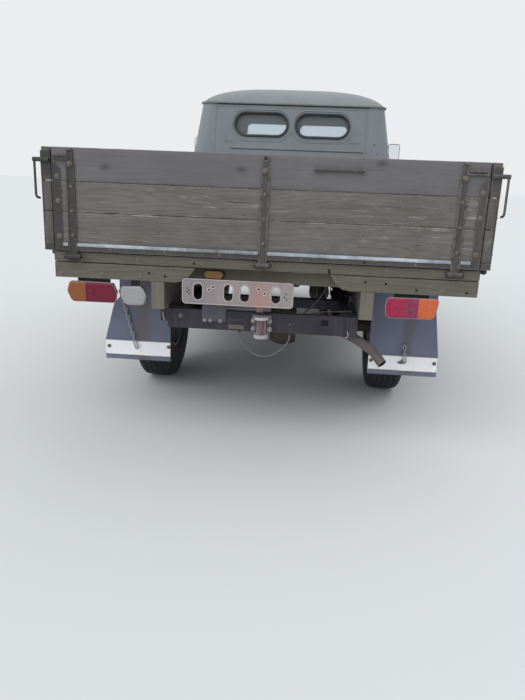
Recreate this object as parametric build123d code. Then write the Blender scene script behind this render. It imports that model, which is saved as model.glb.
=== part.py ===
"""Light military cargo truck: cab over the front axle, wooden drop-side bed, four driven wheels.

Millimetres, +X to the truck's right, +Y forward, +Z up. The origin is on the ground, at the
bottom centre of the whole truck. Each sub-part is one STEP file in parts/.
"""

from math import cos, radians, sin, sqrt, tan
import os

from build123d import *

# Wheels and axles
WHEELBASE = 2300
REAR_AXLE_Y = -1110
FRONT_AXLE_Y = REAR_AXLE_Y + WHEELBASE
TRACK = 1442
TYRE_R = 396
TYRE_W = 214
TREAD_W = 160
SIDEWALL_R = 290
SHOULDER_R = 372
SHOULDER_W = 194
RIM_R = 190.5
RIM_W = 156
RIM_FLANGE_H = 15
RIM_FLANGE_T = 6
RIM_T = 6.5
DISC_FACE = 30
DISC_T = 6
DISC_DISH = 24
HUB_R = 57
HUB_OUT = 76
DRUM_R = 150
DRUM_IN = -50
STUD_COUNT = 5
STUD_CIRCLE_R = 70
VENT_COUNT = 8
VENT_CIRCLE_R = 136
VENT_R = 13
SPINDLE_R = 28
SPINDLE_OUT = 58
RUNNING_FIT = 0.05
BRAKE_GAP = 5
BACKPLATE_T = 5

KINGPIN_INSET = 136
KINGPIN_X = TRACK / 2 - KINGPIN_INSET
BALL_R = 70
BALL_GAP = 0.3
CUP_R = 82
TRUNNION_R = 14
ARM_LENGTH = 210
ARM_T = 20
ARM_W = 30
ARM_TOP_DROP = 10
TIE_PIN_R = 8
TIE_PIN_GAP = 2
TIE_EYE_R = 16
TIE_EYE_H = 24
TIE_ROD_R = 10
OPEN_PIN_CLEARANCE = 0.5
AXLE_TUBE_R = 38
DIFF_R = 150
DIFF_HALF_W = 80
DIFF_X = 70
PINION_R, PINION_LENGTH = 50, 40
PINION_RISE = 15
PAD_H = 6

# Frame and what hangs on it
RAIL_IN, RAIL_OUT = 385, 435
RAIL_BOTTOM, RAIL_TOP = 560, 660
RAIL_FRONT, RAIL_REAR = FRONT_AXLE_Y + 995, REAR_AXLE_Y - 960
CHANNEL_T = 6
BEAM_HALF_W = 470
BEAM_DEPTH = 40
CROSS_MEMBER_Y = (REAR_AXLE_Y - 540, REAR_AXLE_Y + 550, FRONT_AXLE_Y - 1040, FRONT_AXLE_Y + 800)
ENGINE_ARM_Y = (FRONT_AXLE_Y - 560, FRONT_AXLE_Y + 110)
CROSS_MEMBER_W, CROSS_MEMBER_H = 60, 50
SPRING_W = 56
SPRING_HALF = 500
SPRING_SAG = 25
LEAF_T = 7
LEAF_HALVES = (500, 425, 345, 265, 185, 105)
EYE_R = 16
HANGER_T = 6
HANGER_HALF = 24
SHOCK_Y = 95
SHOCK_X = 463
SHOCK_R = 26
SHOCK_ROD_R = 12
SHOCK_EYE_R = 14
CAB_REAR = FRONT_AXLE_Y - 704
BEARER_BRACKET_Y = (REAR_AXLE_Y - 920, REAR_AXLE_Y - 370, REAR_AXLE_Y + 230, REAR_AXLE_Y + 630, CAB_REAR - 156)
TANK_IN, TANK_OUT = 446, 830
TANK_REAR, TANK_FRONT = REAR_AXLE_Y + 690, CAB_REAR - 226
TANK_BOTTOM, TANK_TOP = 420, 655
TANK_EDGE_R = 40
TANK_ARM_Y = (TANK_REAR + 90, TANK_FRONT - 90)
TANK_ARM_T = 6
TANK_ARM_W = 40
ENGINE_HALF, ENGINE_REAR, ENGINE_FRONT = 180, FRONT_AXLE_Y - 240, FRONT_AXLE_Y + 290
ENGINE_BOTTOM, ENGINE_TOP = 600, 1100
GEARBOX_BOTTOM, GEARBOX_TOP = 480, 652
CASE_REAR, CASE_FRONT, CASE_BOTTOM = FRONT_AXLE_Y - 960, FRONT_AXLE_Y - 690, 400
REAR_OUTPUT_Z, FRONT_OUTPUT_Z = 500, 445
SHAFT_R, FLANGE_T = 22, 24
PIPE_R = 25
PIPE_WALL, PIPE_DEPTH = 2, 52
MUFFLER_R = 75
MUFFLER_FRONT, MUFFLER_LENGTH = FRONT_AXLE_Y - 1090, 520

BUMPER_HALF, BUMPER_FRONT, BUMPER_T = 830, RAIL_FRONT + 49, 5
BUMPER_BOTTOM, BUMPER_TOP = 480, 600

# Cab: z, half width, front wall ahead of the axle, setback of the rear wall, bow of the front,
# rear corner radius, front corner radius
CAB_LEVELS = (
    (590, 900, 930, 0, 40, 100, 260),
    (700, 925, 960, 0, 45, 100, 270),
    (950, 935, 978, 0, 45, 100, 280),
    (1235, 893, 970, 0, 45, 100, 270),
    (1885, 772, 825, 8, 55, 110, 230),
)
WALL = 40
CAB_FLOOR_T = 30
ROOF_RISE = 185
ROOF_SHOULDER = 430
ROOF_STEPS = (0, 24, 44, 62, 77, 90)
ROOF_WALL = 34
DRIP_OUT = 16
DRIP_H = 12
ARCH_R = 455
LINER_T = 12
ARCH_IN = 477
DOOR_REAR, DOOR_FRONT = FRONT_AXLE_Y - 185, FRONT_AXLE_Y + 610
DOOR_BOTTOM, DOOR_TOP = 700, 1850
DOOR_GAP = 9
DOOR_ARCH_MARGIN = 35
DOOR_CORNER_R = 60
GLASS_T = 5
GLASS_IN = 14
HINGE_LOW = (940, 880)
HINGE_HIGH = (901, 1225)
HINGE_PLACES = (-45, 412)
DOOR_HINGE_R, DOOR_PIN_R = 8, 5
DOOR_HINGE_HALF = 30
DOOR_LEAF = 55
ENGINE_HOLE_X = 262
ENGINE_HOLE_Y = (FRONT_AXLE_Y - 330, FRONT_AXLE_Y + 470)

# Windows, lamps and grille: the door window's corners are y from the axle, z
DOOR_WINDOW = ((-115, 1300), (545, 1300), (525, 1560), (450, 1785), (-115, 1785))
REAR_WINDOW_X, REAR_WINDOW_Z = 257.5, 1728
REAR_WINDOW = (440, 180)
LAMP_X, LAMP_Z, LAMP_R, LAMP_DEPTH = 625, 985, 88, 120
TURN_X, TURN_Z, TURN_R = 690, 1150, 34
GRILLE_HALF, GRILLE_BOTTOM, GRILLE_TOP = 380, 760, 1090
GRILLE_BARS = 15
SCREEN = ((32, 1330), (590, 1330), (524, 1842), (32, 1842))
SCREEN_CORNER_R = 50
REAR_RIB_OUT = 4
SURROUND_IN, SURROUND_W = 30, 16

# Seats, from the wheel arch up, and the steering wheel
SEAT_IN, SEAT_OUT = 310, 740
SEAT_REAR, SEAT_FRONT = FRONT_AXLE_Y - 290, FRONT_AXLE_Y + 150
SEAT_T, BACK_T, BACK_BOTTOM, BACK_TOP = 130, 110, 40, 560
SEAT_CORNER_R = 20
STEERING_AT = (-520, FRONT_AXLE_Y + 450, 1290)
STEERING_R, STEERING_ROD_R, STEERING_TILT = 205, 13, 32
COLUMN_R, COLUMN_LENGTH = 20, 760

# Ribs on the rear wall: x of the middle, z, length, height
REAR_RIBS = ((47, 1536, 1131, 16), (-535, 1592, 96, 12), (535, 1606, 96, 12))

# Load bed
BED_REAR, BED_FRONT = REAR_AXLE_Y - 1100, CAB_REAR - 46
BOARD_T = 42
TAILGATE_HALF = 988
SIDE_GAP = 6
SIDE_IN = TAILGATE_HALF + SIDE_GAP
SIDE_OUT = SIDE_IN + BOARD_T
GATE_BOTTOM = 930
PLANK_SPLITS = (960, 1110, 1249, 1400)
PLANK_GAP = 2
FLOOR_BOTTOM, FLOOR_TOP = 907, 945
FLOOR_SIDE_GAP = 12
FLOOR_HALF = SIDE_IN - FLOOR_SIDE_GAP
FLOOR_BOARDS = 12
SILL_SETBACK_REAR, SILL_SETBACK_SIDE = 10, 36
SILL_REAR = BED_REAR + SILL_SETBACK_REAR
SILL_T = 40
SILL_TOP, SILL_MID, SILL_BOTTOM = 925, 865, 800
SILL_HALF = SIDE_OUT - SILL_SETBACK_SIDE
SIDE_RAIL_W, BEARER_LAP = 40, 20
SILL_CUT_BOTTOM, SILL_CUT_TOP = 410, 315
BEARER_IN, BEARER_OUT = 467, 529
BEARER_BOTTOM = 668
CROSS_BEARER_Y = (BED_REAR + 150, REAR_AXLE_Y - 550, REAR_AXLE_Y, REAR_AXLE_Y + 550, BED_FRONT - 470, BED_FRONT - 50)
CROSS_BEARER_W = 70
STRAP_W, STRAP_T = 40, 6
TAIL_STRAP_X = (-900, 0, 880)
SIDE_STRAP_Y = (BED_REAR + 170, BED_REAR + 910, BED_FRONT - 920, BED_FRONT - 180)
HINGE_R = 11
HINGE_PIN_R = 6
HINGE_Z = 905
HINGE_OFF = 12
LUG_T = 10
LUG_GAP = 1
WOOD_GAP = 0.3
STRAP_LIP, STRAP_DISH = 6, 3
STRAP_HEAD_W, STRAP_HEAD_Z = 28, 1330
STRAP_HEAD_T = 8
STRAP_HOLE_R = 6
ANGLE_W, ANGLE_T, ANGLE_CUT = 40, 3, 26
ANGLE_TOP = PLANK_SPLITS[-1] - 70
HANDLE_X, HANDLE_Z = (215, 440), 1343
HANDLE_R, HANDLE_OUT = 8, 16
LATCH_Z = 1342
LATCH_R, LATCH_PLATE_T, LATCH_REACH = 10, 3, 34
LATCH_ROD_R, LATCH_DROP, LATCH_FOOT = 5.5, 168, 40
HASP_R, HASP_PITCH, HASP_END = 4, 14, 978

# Flaps: the face they hang on, and for each its inner edge, outer edge at the foot and at the top,
# and how far its top outer corner is cut away
FLAP_Y = CROSS_BEARER_Y[1]
FLAP_FACE = FLAP_Y - CROSS_BEARER_W / 2
FLAP_SHAPES = ((-548, -926, -870, 32), (577, 960, 925, 0))
FLAP_BOTTOM, FLAP_TOP = 255, SILL_BOTTOM + 60
FLAP_KNEE, FLAP_CORNER_Z = 370, 618
FLAP_T = 6
STRIP_Z = (283, 368)
STRIP_T = 3

# Chain and hook on each flap: x and z of the eye above, then of the hook's foot on the strip
FLAP_CHAINS = ((-828, 650, -752, 372), (770, 420, 773, 380))
HOOK_LENGTH = 62
LINK_LENGTH, LINK_WIDTH, LINK_WIRE, LINK_LAP = 34, 20, 5, 0.5
CHAIN_OUT = 14

# Rear lamps: outline as x, z from left to right round the lamp, then how far each stands out
LEFT_LAMP = ((-930, 784), (-943, 734), (-922, 686), (-708, 687), (-701, 736), (-719, 781))
RIGHT_LAMP = ((590, 781), (586, 733), (594, 686), (812, 687), (824, 735), (830, 783))
REVERSE_LAMP = ((-679, 768), (-680, 723), (-657, 680), (-567, 683), (-556, 719), (-576, 773))
REAR_LAMPS = ((LEFT_LAMP, 6), (RIGHT_LAMP, 6), (REVERSE_LAMP, 4))
LAMP_CORNER_R = 9
LAMP_FOOT_T = 4
MARKER_X, MARKER_Z, MARKER_SIZE, MARKER_T = -243, 834, (113, 40), 22

# Bracket of the number plate, with four upright slots, on two arms from the rear beam
PLATE_X, PLATE_Z = (-379, 153), (704, 826)
PLATE_T, PLATE_CORNER_R, PLATE_SETBACK = 3, 18, 8
PLATE_SLOT_X, PLATE_SLOT_Z = (-302, -156, -78, 70), 765
PLATE_SLOT = (76, 40)
PLATE_ARM_X, PLATE_ARM_W, PLATE_ARM_Z = (-230, -30), 36, 712

# Tow hook and the hole beside it in the rear beam
HOOK_BASE = (-48, 48, 562, 648)
HOOK_BASE_T, HOOK_WEB_W, HOOK_WEB_T = 8, 44, 12
HOOK_JAWS = ((546, 18), (636, 14))
HOOK_JAW_R, HOOK_JAW_OUT = 36, 14
HOOK_PIN_R, HOOK_PIN_OUT = 9, 30
BEAM_HOLE = (294, 327, 608, 637)

# The wire loop under the rear beam: x, y, z
CABLE_R = 4
GLAND_R, GLAND_H = 8, 8
CABLE_ROUTE = (
    (-112, -2090, 552),
    (-112, -2090, 526),
    (-95, -2092, 492),
    (-66, -2095, 460),
    (-28, -2097, 438),
    (14, -2098, 430),
    (56, -2097, 440),
    (96, -2095, 466),
    (126, -2092, 498),
    (140, -2090, 528),
    (140, -2090, 552),
)

os.makedirs("parts", exist_ok=True)


def block(x0, x1, y0, y1, z0, z1):
    """A box between two corners."""
    return Pos((x0 + x1) / 2, (y0 + y1) / 2, (z0 + z1) / 2) * Box(x1 - x0, y1 - y0, z1 - z0)


def rod(start, end, radius):
    """A round bar between two points."""
    axis = Vector(*end) - Vector(*start)
    plane = Plane(origin=start, z_dir=axis.normalized())
    return extrude(plane * Circle(radius), axis.length)


def mirrored(piece):
    """The like piece on the other side of the truck."""
    return mirror(piece, about=Plane.YZ)


def write(node, *pieces):
    """One STEP file of the node's solids."""
    solids = [solid for piece in pieces for solid in piece.solids()]
    export_step(Compound(solids), f"parts/{node}.step")


def tyre():
    """Tyre about the X axis, as wide and high as its lugs."""
    bead_r = RIM_R + RIM_FLANGE_H
    tread_edge_r = TYRE_R - 6
    with BuildSketch() as section:
        with BuildLine():
            Polyline((-RIM_W / 2, bead_r), (-RIM_W / 2, RIM_R), (RIM_W / 2, RIM_R), (RIM_W / 2, bead_r))
            ThreePointArc((RIM_W / 2, bead_r), (TYRE_W / 2, SIDEWALL_R), (SHOULDER_W / 2, SHOULDER_R))
            Line((SHOULDER_W / 2, SHOULDER_R), (TREAD_W / 2, tread_edge_r))
            ThreePointArc((TREAD_W / 2, tread_edge_r), (0, TYRE_R), (-TREAD_W / 2, tread_edge_r))
            Line((-TREAD_W / 2, tread_edge_r), (-SHOULDER_W / 2, SHOULDER_R))
            ThreePointArc((-SHOULDER_W / 2, SHOULDER_R), (-TYRE_W / 2, SIDEWALL_R), (-RIM_W / 2, bead_r))
        make_face()
    return revolve(section.sketch, Axis.X)


def rim():
    """Steel rim, dished disc, hub and brake drum about the X axis, its outer side to +X."""
    lip = RIM_W / 2 + RIM_FLANGE_T
    well_r = RIM_R - RIM_T
    flange_r = RIM_R + RIM_FLANGE_H
    crown_face = DISC_FACE + DISC_DISH
    barrel = (
        (-lip, flange_r),
        (-RIM_W / 2, flange_r),
        (-RIM_W / 2, RIM_R),
        (RIM_W / 2, RIM_R),
        (RIM_W / 2, flange_r),
        (lip, flange_r),
        (lip, well_r),
        (DISC_FACE + 8, well_r),
        (crown_face, DRUM_R + 2),
        (crown_face, DRUM_R - 28),
        (DISC_FACE, DRUM_R - 52),
        (DISC_FACE, HUB_R),
        (HUB_OUT - 6, HUB_R - 4),
        (HUB_OUT, HUB_R - 14),
        (HUB_OUT, 0),
        (SPINDLE_OUT + 2, 0),
        (SPINDLE_OUT + 2, SPINDLE_R + RUNNING_FIT),
        (DRUM_IN, SPINDLE_R + RUNNING_FIT),
        (DRUM_IN, DRUM_R),
        (DISC_FACE - 6, DRUM_R),
        (DISC_FACE - 6, DRUM_R - 52 + 4),
        (crown_face - DISC_T, DRUM_R - 26),
        (crown_face - DISC_T, DRUM_R),
        (DISC_FACE, well_r),
        (-lip, well_r),
    )
    body = revolve(make_face(Polyline(*barrel, close=True)), Axis.X)
    vents = [
        Rot(X=360 * k / VENT_COUNT)
        * rod((crown_face - 12, 0, VENT_CIRCLE_R), (crown_face + 4, 0, VENT_CIRCLE_R), VENT_R)
        for k in range(VENT_COUNT)
    ]
    nuts = [
        Rot(X=360 * k / STUD_COUNT)
        * Pos(DISC_FACE, 0, STUD_CIRCLE_R)
        * Rot(Y=90)
        * extrude(RegularPolygon(11, 6), 16)
        for k in range(STUD_COUNT)
    ]
    return body - vents + nuts


def spindle(backplate_x):
    """Spindle and brake backplate of the right wheel, about the wheel's own centre."""
    plate_face = DRUM_IN - BRAKE_GAP
    return rod((backplate_x, 0, 0), (SPINDLE_OUT, 0, 0), SPINDLE_R) + rod(
        (plate_face - BACKPLATE_T, 0, 0), (plate_face, 0, 0), DRUM_R + 2
    )


def wheels():
    """A tyre and a rim at each corner."""
    right_tyre, right_rim = tyre(), rim()
    corners = (("front", FRONT_AXLE_Y), ("rear", REAR_AXLE_Y))
    for end, y in corners:
        place = Pos(TRACK / 2, y, TYRE_R)
        write(f"tyre_{end}_right", place * right_tyre)
        write(f"rim_{end}_right", place * right_rim)
        write(f"tyre_{end}_left", mirrored(place * right_tyre))
        write(f"rim_{end}_left", mirrored(place * right_rim))


def axle_middle(y):
    """Axle tube, differential housing and spring pads."""
    housing = Pos(DIFF_X, y, TYRE_R) * Sphere(DIFF_R)
    housing &= block(DIFF_X - DIFF_HALF_W, DIFF_X + DIFF_HALF_W, y - DIFF_R, y + DIFF_R, 0, 2 * TYRE_R)
    inward = 1 if y == REAR_AXLE_Y else -1
    face = y + inward * (DIFF_R + PINION_LENGTH)
    housing += rod((DIFF_X, y, TYRE_R + PINION_RISE), (DIFF_X, face, TYRE_R + PINION_RISE), PINION_R)
    pads = [
        block(x - SPRING_W / 2, x + SPRING_W / 2, y - 50, y + 50, TYRE_R + 20, pad_top())
        for x in spring_centres()
    ]
    ears = [
        block(x - 8, x + 8, y + 10, y + SHOCK_Y + SHOCK_EYE_R, TYRE_R - 12, TYRE_R + 12)
        for x in (-shock_ear_x(), shock_ear_x())
    ]
    return housing, pads, ears


def spring_centres():
    middle = (RAIL_IN + RAIL_OUT) / 2
    return (-middle, middle)


def shock_ear_x():
    return SHOCK_X - SHOCK_R - 14


def pad_top():
    return TYRE_R + AXLE_TUBE_R + PAD_H


def axles():
    """Rear axle in one piece, front axle that ends in the balls of its steering joints."""
    plate_face = DRUM_IN - BRAKE_GAP
    rear_end = TRACK / 2 + plate_face - BACKPLATE_T
    housing, pads, ears = axle_middle(REAR_AXLE_Y)
    rear = rod((-rear_end, REAR_AXLE_Y, TYRE_R), (rear_end, REAR_AXLE_Y, TYRE_R), AXLE_TUBE_R)
    rear = rear + housing + pads + ears
    hub = Pos(TRACK / 2, REAR_AXLE_Y, TYRE_R) * spindle(plate_face - BACKPLATE_T)
    write("rear_axle", rear + hub + mirrored(hub))

    housing, pads, ears = axle_middle(FRONT_AXLE_Y)
    front = rod((-KINGPIN_X, FRONT_AXLE_Y, TYRE_R), (KINGPIN_X, FRONT_AXLE_Y, TYRE_R), AXLE_TUBE_R)
    front = front + housing + pads + ears
    for side in (-1, 1):
        x = side * KINGPIN_X
        front += Pos(x, FRONT_AXLE_Y, TYRE_R) * Sphere(BALL_R)
        bore = rod((x, FRONT_AXLE_Y, TYRE_R + 40), (x, FRONT_AXLE_Y, TYRE_R + CUP_R), TRUNNION_R + RUNNING_FIT)
        front = front - bore - mirror(bore, about=Plane.XY.offset(TYRE_R))
    write("front_axle", front)


def knuckles():
    """Steering knuckle: cup round the ball, pins above and below, arm, backplate and spindle."""
    plate_in = TRACK / 2 + DRUM_IN - BRAKE_GAP - BACKPLATE_T
    back, inner_r, end = -12, BALL_R + BALL_GAP, plate_in - KINGPIN_X
    with BuildSketch() as section:
        with BuildLine():
            outer_end = sqrt(CUP_R**2 - end**2)
            Line((back, sqrt(inner_r**2 - back**2)), (back, sqrt(CUP_R**2 - back**2)))
            ThreePointArc((back, sqrt(CUP_R**2 - back**2)), (40, sqrt(CUP_R**2 - 40**2)), (end, outer_end))
            Polyline((end, outer_end), (end, 0), (inner_r, 0))
            ThreePointArc((inner_r, 0), (40, sqrt(inner_r**2 - 40**2)), (back, sqrt(inner_r**2 - back**2)))
        make_face()
    cup = Pos(KINGPIN_X, FRONT_AXLE_Y, TYRE_R) * revolve(section.sketch, Axis.X)
    pin = rod(
        (KINGPIN_X, FRONT_AXLE_Y, TYRE_R + 42), (KINGPIN_X, FRONT_AXLE_Y, TYRE_R + CUP_R + 10), TRUNNION_R
    )
    boss = rod(
        (KINGPIN_X, FRONT_AXLE_Y, TYRE_R + BALL_R + 4),
        (KINGPIN_X, FRONT_AXLE_Y, TYRE_R + CUP_R + 10),
        TRUNNION_R + 10,
    )
    upper = pin + boss
    hub = Pos(TRACK / 2, FRONT_AXLE_Y, TYRE_R) * spindle(plate_in - TRACK / 2)
    arm_top = TYRE_R - ARM_TOP_DROP
    arm_bottom = arm_top - ARM_T
    pin_y = FRONT_AXLE_Y + ARM_LENGTH
    arm = block(
        KINGPIN_X - ARM_W / 2, KINGPIN_X + ARM_W / 2, FRONT_AXLE_Y + BALL_R + 4, pin_y, arm_bottom, arm_top
    )
    arm += rod((KINGPIN_X, pin_y, arm_bottom), (KINGPIN_X, pin_y, arm_top), TIE_EYE_R)
    tie_pin = rod((KINGPIN_X, pin_y, arm_bottom - TIE_PIN_GAP - TIE_EYE_H), (KINGPIN_X, pin_y, arm_top), TIE_PIN_R)
    knuckle = cup + upper
    knuckle += mirror(upper, about=Plane.XY.offset(TYRE_R))
    knuckle += hub
    knuckle += arm
    knuckle += tie_pin
    write("knuckle_right", knuckle)
    write("knuckle_left", mirrored(knuckle))

    eye_top = arm_bottom - TIE_PIN_GAP
    eye_z = eye_top - TIE_EYE_H
    middle = eye_z + TIE_EYE_H / 2
    tie = rod((-KINGPIN_X, pin_y, middle), (KINGPIN_X, pin_y, middle), TIE_ROD_R)
    for x, clearance in ((-KINGPIN_X, RUNNING_FIT), (KINGPIN_X, OPEN_PIN_CLEARANCE)):
        tie += rod((x, pin_y, eye_z), (x, pin_y, eye_top), TIE_EYE_R)
        tie -= rod((x, pin_y, eye_z - 1), (x, pin_y, eye_top + 1), TIE_PIN_R + clearance)
    write("tie_rod", tie)


def leaf(half, index, radius):
    """One leaf as an arc of its own length, centred above the axle."""
    inner, outer = radius + index * LEAF_T, radius + (index + 1) * LEAF_T
    top, bottom = -index * LEAF_T, -(index + 1) * LEAF_T
    top_end = top + inner - sqrt(inner * inner - half * half)
    bottom_end = bottom + outer - sqrt(outer * outer - half * half)
    with BuildSketch(Plane.YZ) as side:
        with BuildLine():
            ThreePointArc((-half, top_end), (0, top), (half, top_end))
            Line((half, top_end), (half, bottom_end))
            ThreePointArc((half, bottom_end), (0, bottom), (-half, bottom_end))
            Line((-half, bottom_end), (-half, top_end))
        make_face()
    return extrude(side.sketch, SPRING_W / 2, both=True)


def spring_top():
    return pad_top() + LEAF_T * len(LEAF_HALVES)


def eye_height():
    """Height of a spring eye's centre, on top of the main leaf's end."""
    return spring_top() + SPRING_SAG + EYE_R - LEAF_T


def springs():
    """Four leaf packs over the axles."""
    radius = (SPRING_HALF**2 + SPRING_SAG**2) / (2 * SPRING_SAG)
    pack = Part() + [leaf(half, index, radius) for index, half in enumerate(LEAF_HALVES)]
    for y in (-SPRING_HALF, SPRING_HALF):
        z = eye_height() - spring_top()
        pack += rod((-SPRING_W / 2, y, z), (SPRING_W / 2, y, z), EYE_R)
    places = [(x, y) for y in (REAR_AXLE_Y, FRONT_AXLE_Y) for x in spring_centres()]
    write("leaf_springs", *[Pos(x, y, spring_top()) * pack for x, y in places])


def spring_hanger(x, y):
    """Bracket under the rail, with a cheek on each side of the spring's eye."""
    cheek = SPRING_W / 2 + BALL_GAP
    top = block(
        x - cheek - HANGER_T, x + cheek + HANGER_T, y - HANGER_HALF, y + HANGER_HALF,
        RAIL_BOTTOM - HANGER_T, RAIL_BOTTOM,
    )
    cheeks = [
        block(
            x + side * (cheek + HANGER_T / 2) - HANGER_T / 2,
            x + side * (cheek + HANGER_T / 2) + HANGER_T / 2,
            y - HANGER_HALF, y + HANGER_HALF, eye_height() - EYE_R, RAIL_BOTTOM,
        )
        for side in (-1, 1)
    ]
    return top + cheeks


def frame():
    """Two channel rails, cross members, rear beam, spring hangers and carriers."""
    rail = block(RAIL_IN, RAIL_OUT, RAIL_REAR, RAIL_FRONT, RAIL_BOTTOM, RAIL_TOP)
    rail -= block(
        RAIL_IN, RAIL_OUT - CHANNEL_T, RAIL_REAR - 1, RAIL_FRONT + 1,
        RAIL_BOTTOM + CHANNEL_T, RAIL_TOP - CHANNEL_T,
    )
    body = rail + mirrored(rail)
    for y in CROSS_MEMBER_Y:
        body += block(
            -RAIL_OUT + CHANNEL_T, RAIL_OUT - CHANNEL_T, y - CROSS_MEMBER_W / 2, y + CROSS_MEMBER_W / 2,
            RAIL_TOP - CHANNEL_T - CROSS_MEMBER_H, RAIL_TOP - CHANNEL_T,
        )
    beam = block(
        -BEAM_HALF_W, BEAM_HALF_W, RAIL_REAR - BEAM_DEPTH, RAIL_REAR, RAIL_BOTTOM, RAIL_TOP - 4
    )
    beam -= block(
        -BEAM_HALF_W - 1, BEAM_HALF_W + 1, RAIL_REAR - BEAM_DEPTH + CHANNEL_T, RAIL_REAR + 1,
        RAIL_BOTTOM + CHANNEL_T, RAIL_TOP - 4 - CHANNEL_T,
    )
    x0, x1, z0, z1 = BEAM_HOLE
    beam -= block(x0, x1, RAIL_REAR - BEAM_DEPTH - 1, RAIL_REAR, z0, z1)
    body += beam
    for x, y, z in (CABLE_ROUTE[0], CABLE_ROUTE[-1]):
        body += rod((x, y, z), (x, y, z + GLAND_H), GLAND_R)
    for axle_y in (REAR_AXLE_Y, FRONT_AXLE_Y):
        for x in spring_centres():
            for end in (-SPRING_HALF, SPRING_HALF):
                body += spring_hanger(x, axle_y + end)
    for y in ENGINE_ARM_Y:
        half = ENGINE_HALF if y > ENGINE_REAR else 110
        arm = block(half, RAIL_OUT - CHANNEL_T, y - 30, y + 30, RAIL_TOP - CHANNEL_T - 46, RAIL_TOP - CHANNEL_T)
        body = body + arm + mirrored(arm)
    for y in BEARER_BRACKET_Y:
        bracket = block(RAIL_OUT - CHANNEL_T, BEARER_OUT, y - 30, y + 30, RAIL_TOP - 60, RAIL_TOP)
        bracket -= block(RAIL_OUT, BEARER_OUT + 1, y - 31, y + 31, RAIL_TOP - 61, RAIL_TOP - CHANNEL_T)
        bracket += block(BEARER_IN, BEARER_OUT, y - 30, y + 30, RAIL_TOP - CHANNEL_T, BEARER_BOTTOM)
        body = body + bracket + mirrored(bracket)
    for y in TANK_ARM_Y:
        arm = block(
            RAIL_OUT, TANK_OUT - 20, y - TANK_ARM_W / 2, y + TANK_ARM_W / 2,
            TANK_BOTTOM - TANK_ARM_T, TANK_BOTTOM,
        )
        arm += block(
            RAIL_OUT, TANK_IN, y - TANK_ARM_W / 2, y + TANK_ARM_W / 2, TANK_BOTTOM - TANK_ARM_T, RAIL_TOP - 20
        )
        body = body + arm + mirrored(arm)
    write("frame", body)


def shock_absorbers():
    """A telescopic damper beside each spring."""
    top_z, low_z = RAIL_TOP - 24, TYRE_R
    damper = rod((SHOCK_X, 0, low_z), (SHOCK_X, 0, top_z), SHOCK_ROD_R)
    damper += rod((SHOCK_X, 0, low_z + 90), (SHOCK_X, 0, top_z - 8), SHOCK_R)
    damper += rod((shock_ear_x() + 8, 0, low_z), (SHOCK_X + 12, 0, low_z), SHOCK_EYE_R - 2)
    damper += rod((RAIL_OUT, 0, top_z), (SHOCK_X + 12, 0, top_z), SHOCK_EYE_R)
    pieces = []
    for axle_y in (REAR_AXLE_Y, FRONT_AXLE_Y):
        one = Pos(0, axle_y + SHOCK_Y, 0) * damper
        pieces += [one, mirrored(one)]
    write("shock_absorbers", *pieces)


def drive_line():
    """Engine as one block, gearbox with its transfer case, and the two propeller shafts."""
    engine = block(-ENGINE_HALF, ENGINE_HALF, ENGINE_REAR, ENGINE_FRONT, ENGINE_BOTTOM, ENGINE_TOP)
    engine = chamfer(engine.edges().filter_by(Axis.Y).group_by(Axis.Z)[-1], 60)
    sump = block(
        -ENGINE_HALF + 60, ENGINE_HALF - 60, ENGINE_REAR + 40, ENGINE_FRONT - 40, ENGINE_BOTTOM - 28, ENGINE_BOTTOM
    )
    write("engine_block", engine + sump)
    box = block(-110, 110, CASE_FRONT, ENGINE_REAR, GEARBOX_BOTTOM, GEARBOX_TOP)
    case = block(-150, 170, CASE_REAR, CASE_FRONT, CASE_BOTTOM, GEARBOX_TOP)
    case = chamfer(case.edges().filter_by(Axis.Y), 40)
    write("gearbox", box + case)

    pinion_z = TYRE_R + PINION_RISE
    inset = FLANGE_T / 2
    ends = (
        (CASE_REAR, REAR_OUTPUT_Z, REAR_AXLE_Y + DIFF_R + PINION_LENGTH, -1),
        (CASE_FRONT, FRONT_OUTPUT_Z, FRONT_AXLE_Y - DIFF_R - PINION_LENGTH, 1),
    )
    shafts = []
    for case_y, case_z, pinion_y, way in ends:
        near, far = case_y + way * FLANGE_T, pinion_y - way * FLANGE_T
        shaft = rod((DIFF_X, case_y, case_z), (DIFF_X, near, case_z), SHAFT_R + 10)
        shaft += rod((DIFF_X, far, pinion_z), (DIFF_X, pinion_y, pinion_z), PINION_R - 6)
        shaft += rod((DIFF_X, near - way * inset, case_z), (DIFF_X, far + way * inset, pinion_z), SHAFT_R)
        shafts.append(shaft)
    write("propeller_shafts", *shafts)


def fuel_tanks():
    """A pressed steel tank on each side, in the arms of the frame."""
    tank = block(TANK_IN, TANK_OUT, TANK_REAR, TANK_FRONT, TANK_BOTTOM, TANK_TOP)
    tank = fillet(tank.edges().filter_by(Axis.Y), TANK_EDGE_R)
    neck = rod((TANK_OUT - 40, TANK_FRONT - 60, TANK_TOP - 60), (TANK_OUT + 60, TANK_FRONT - 60, TANK_TOP + 20), 24)
    tank += neck
    write("fuel_tanks", tank, mirrored(tank))


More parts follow.
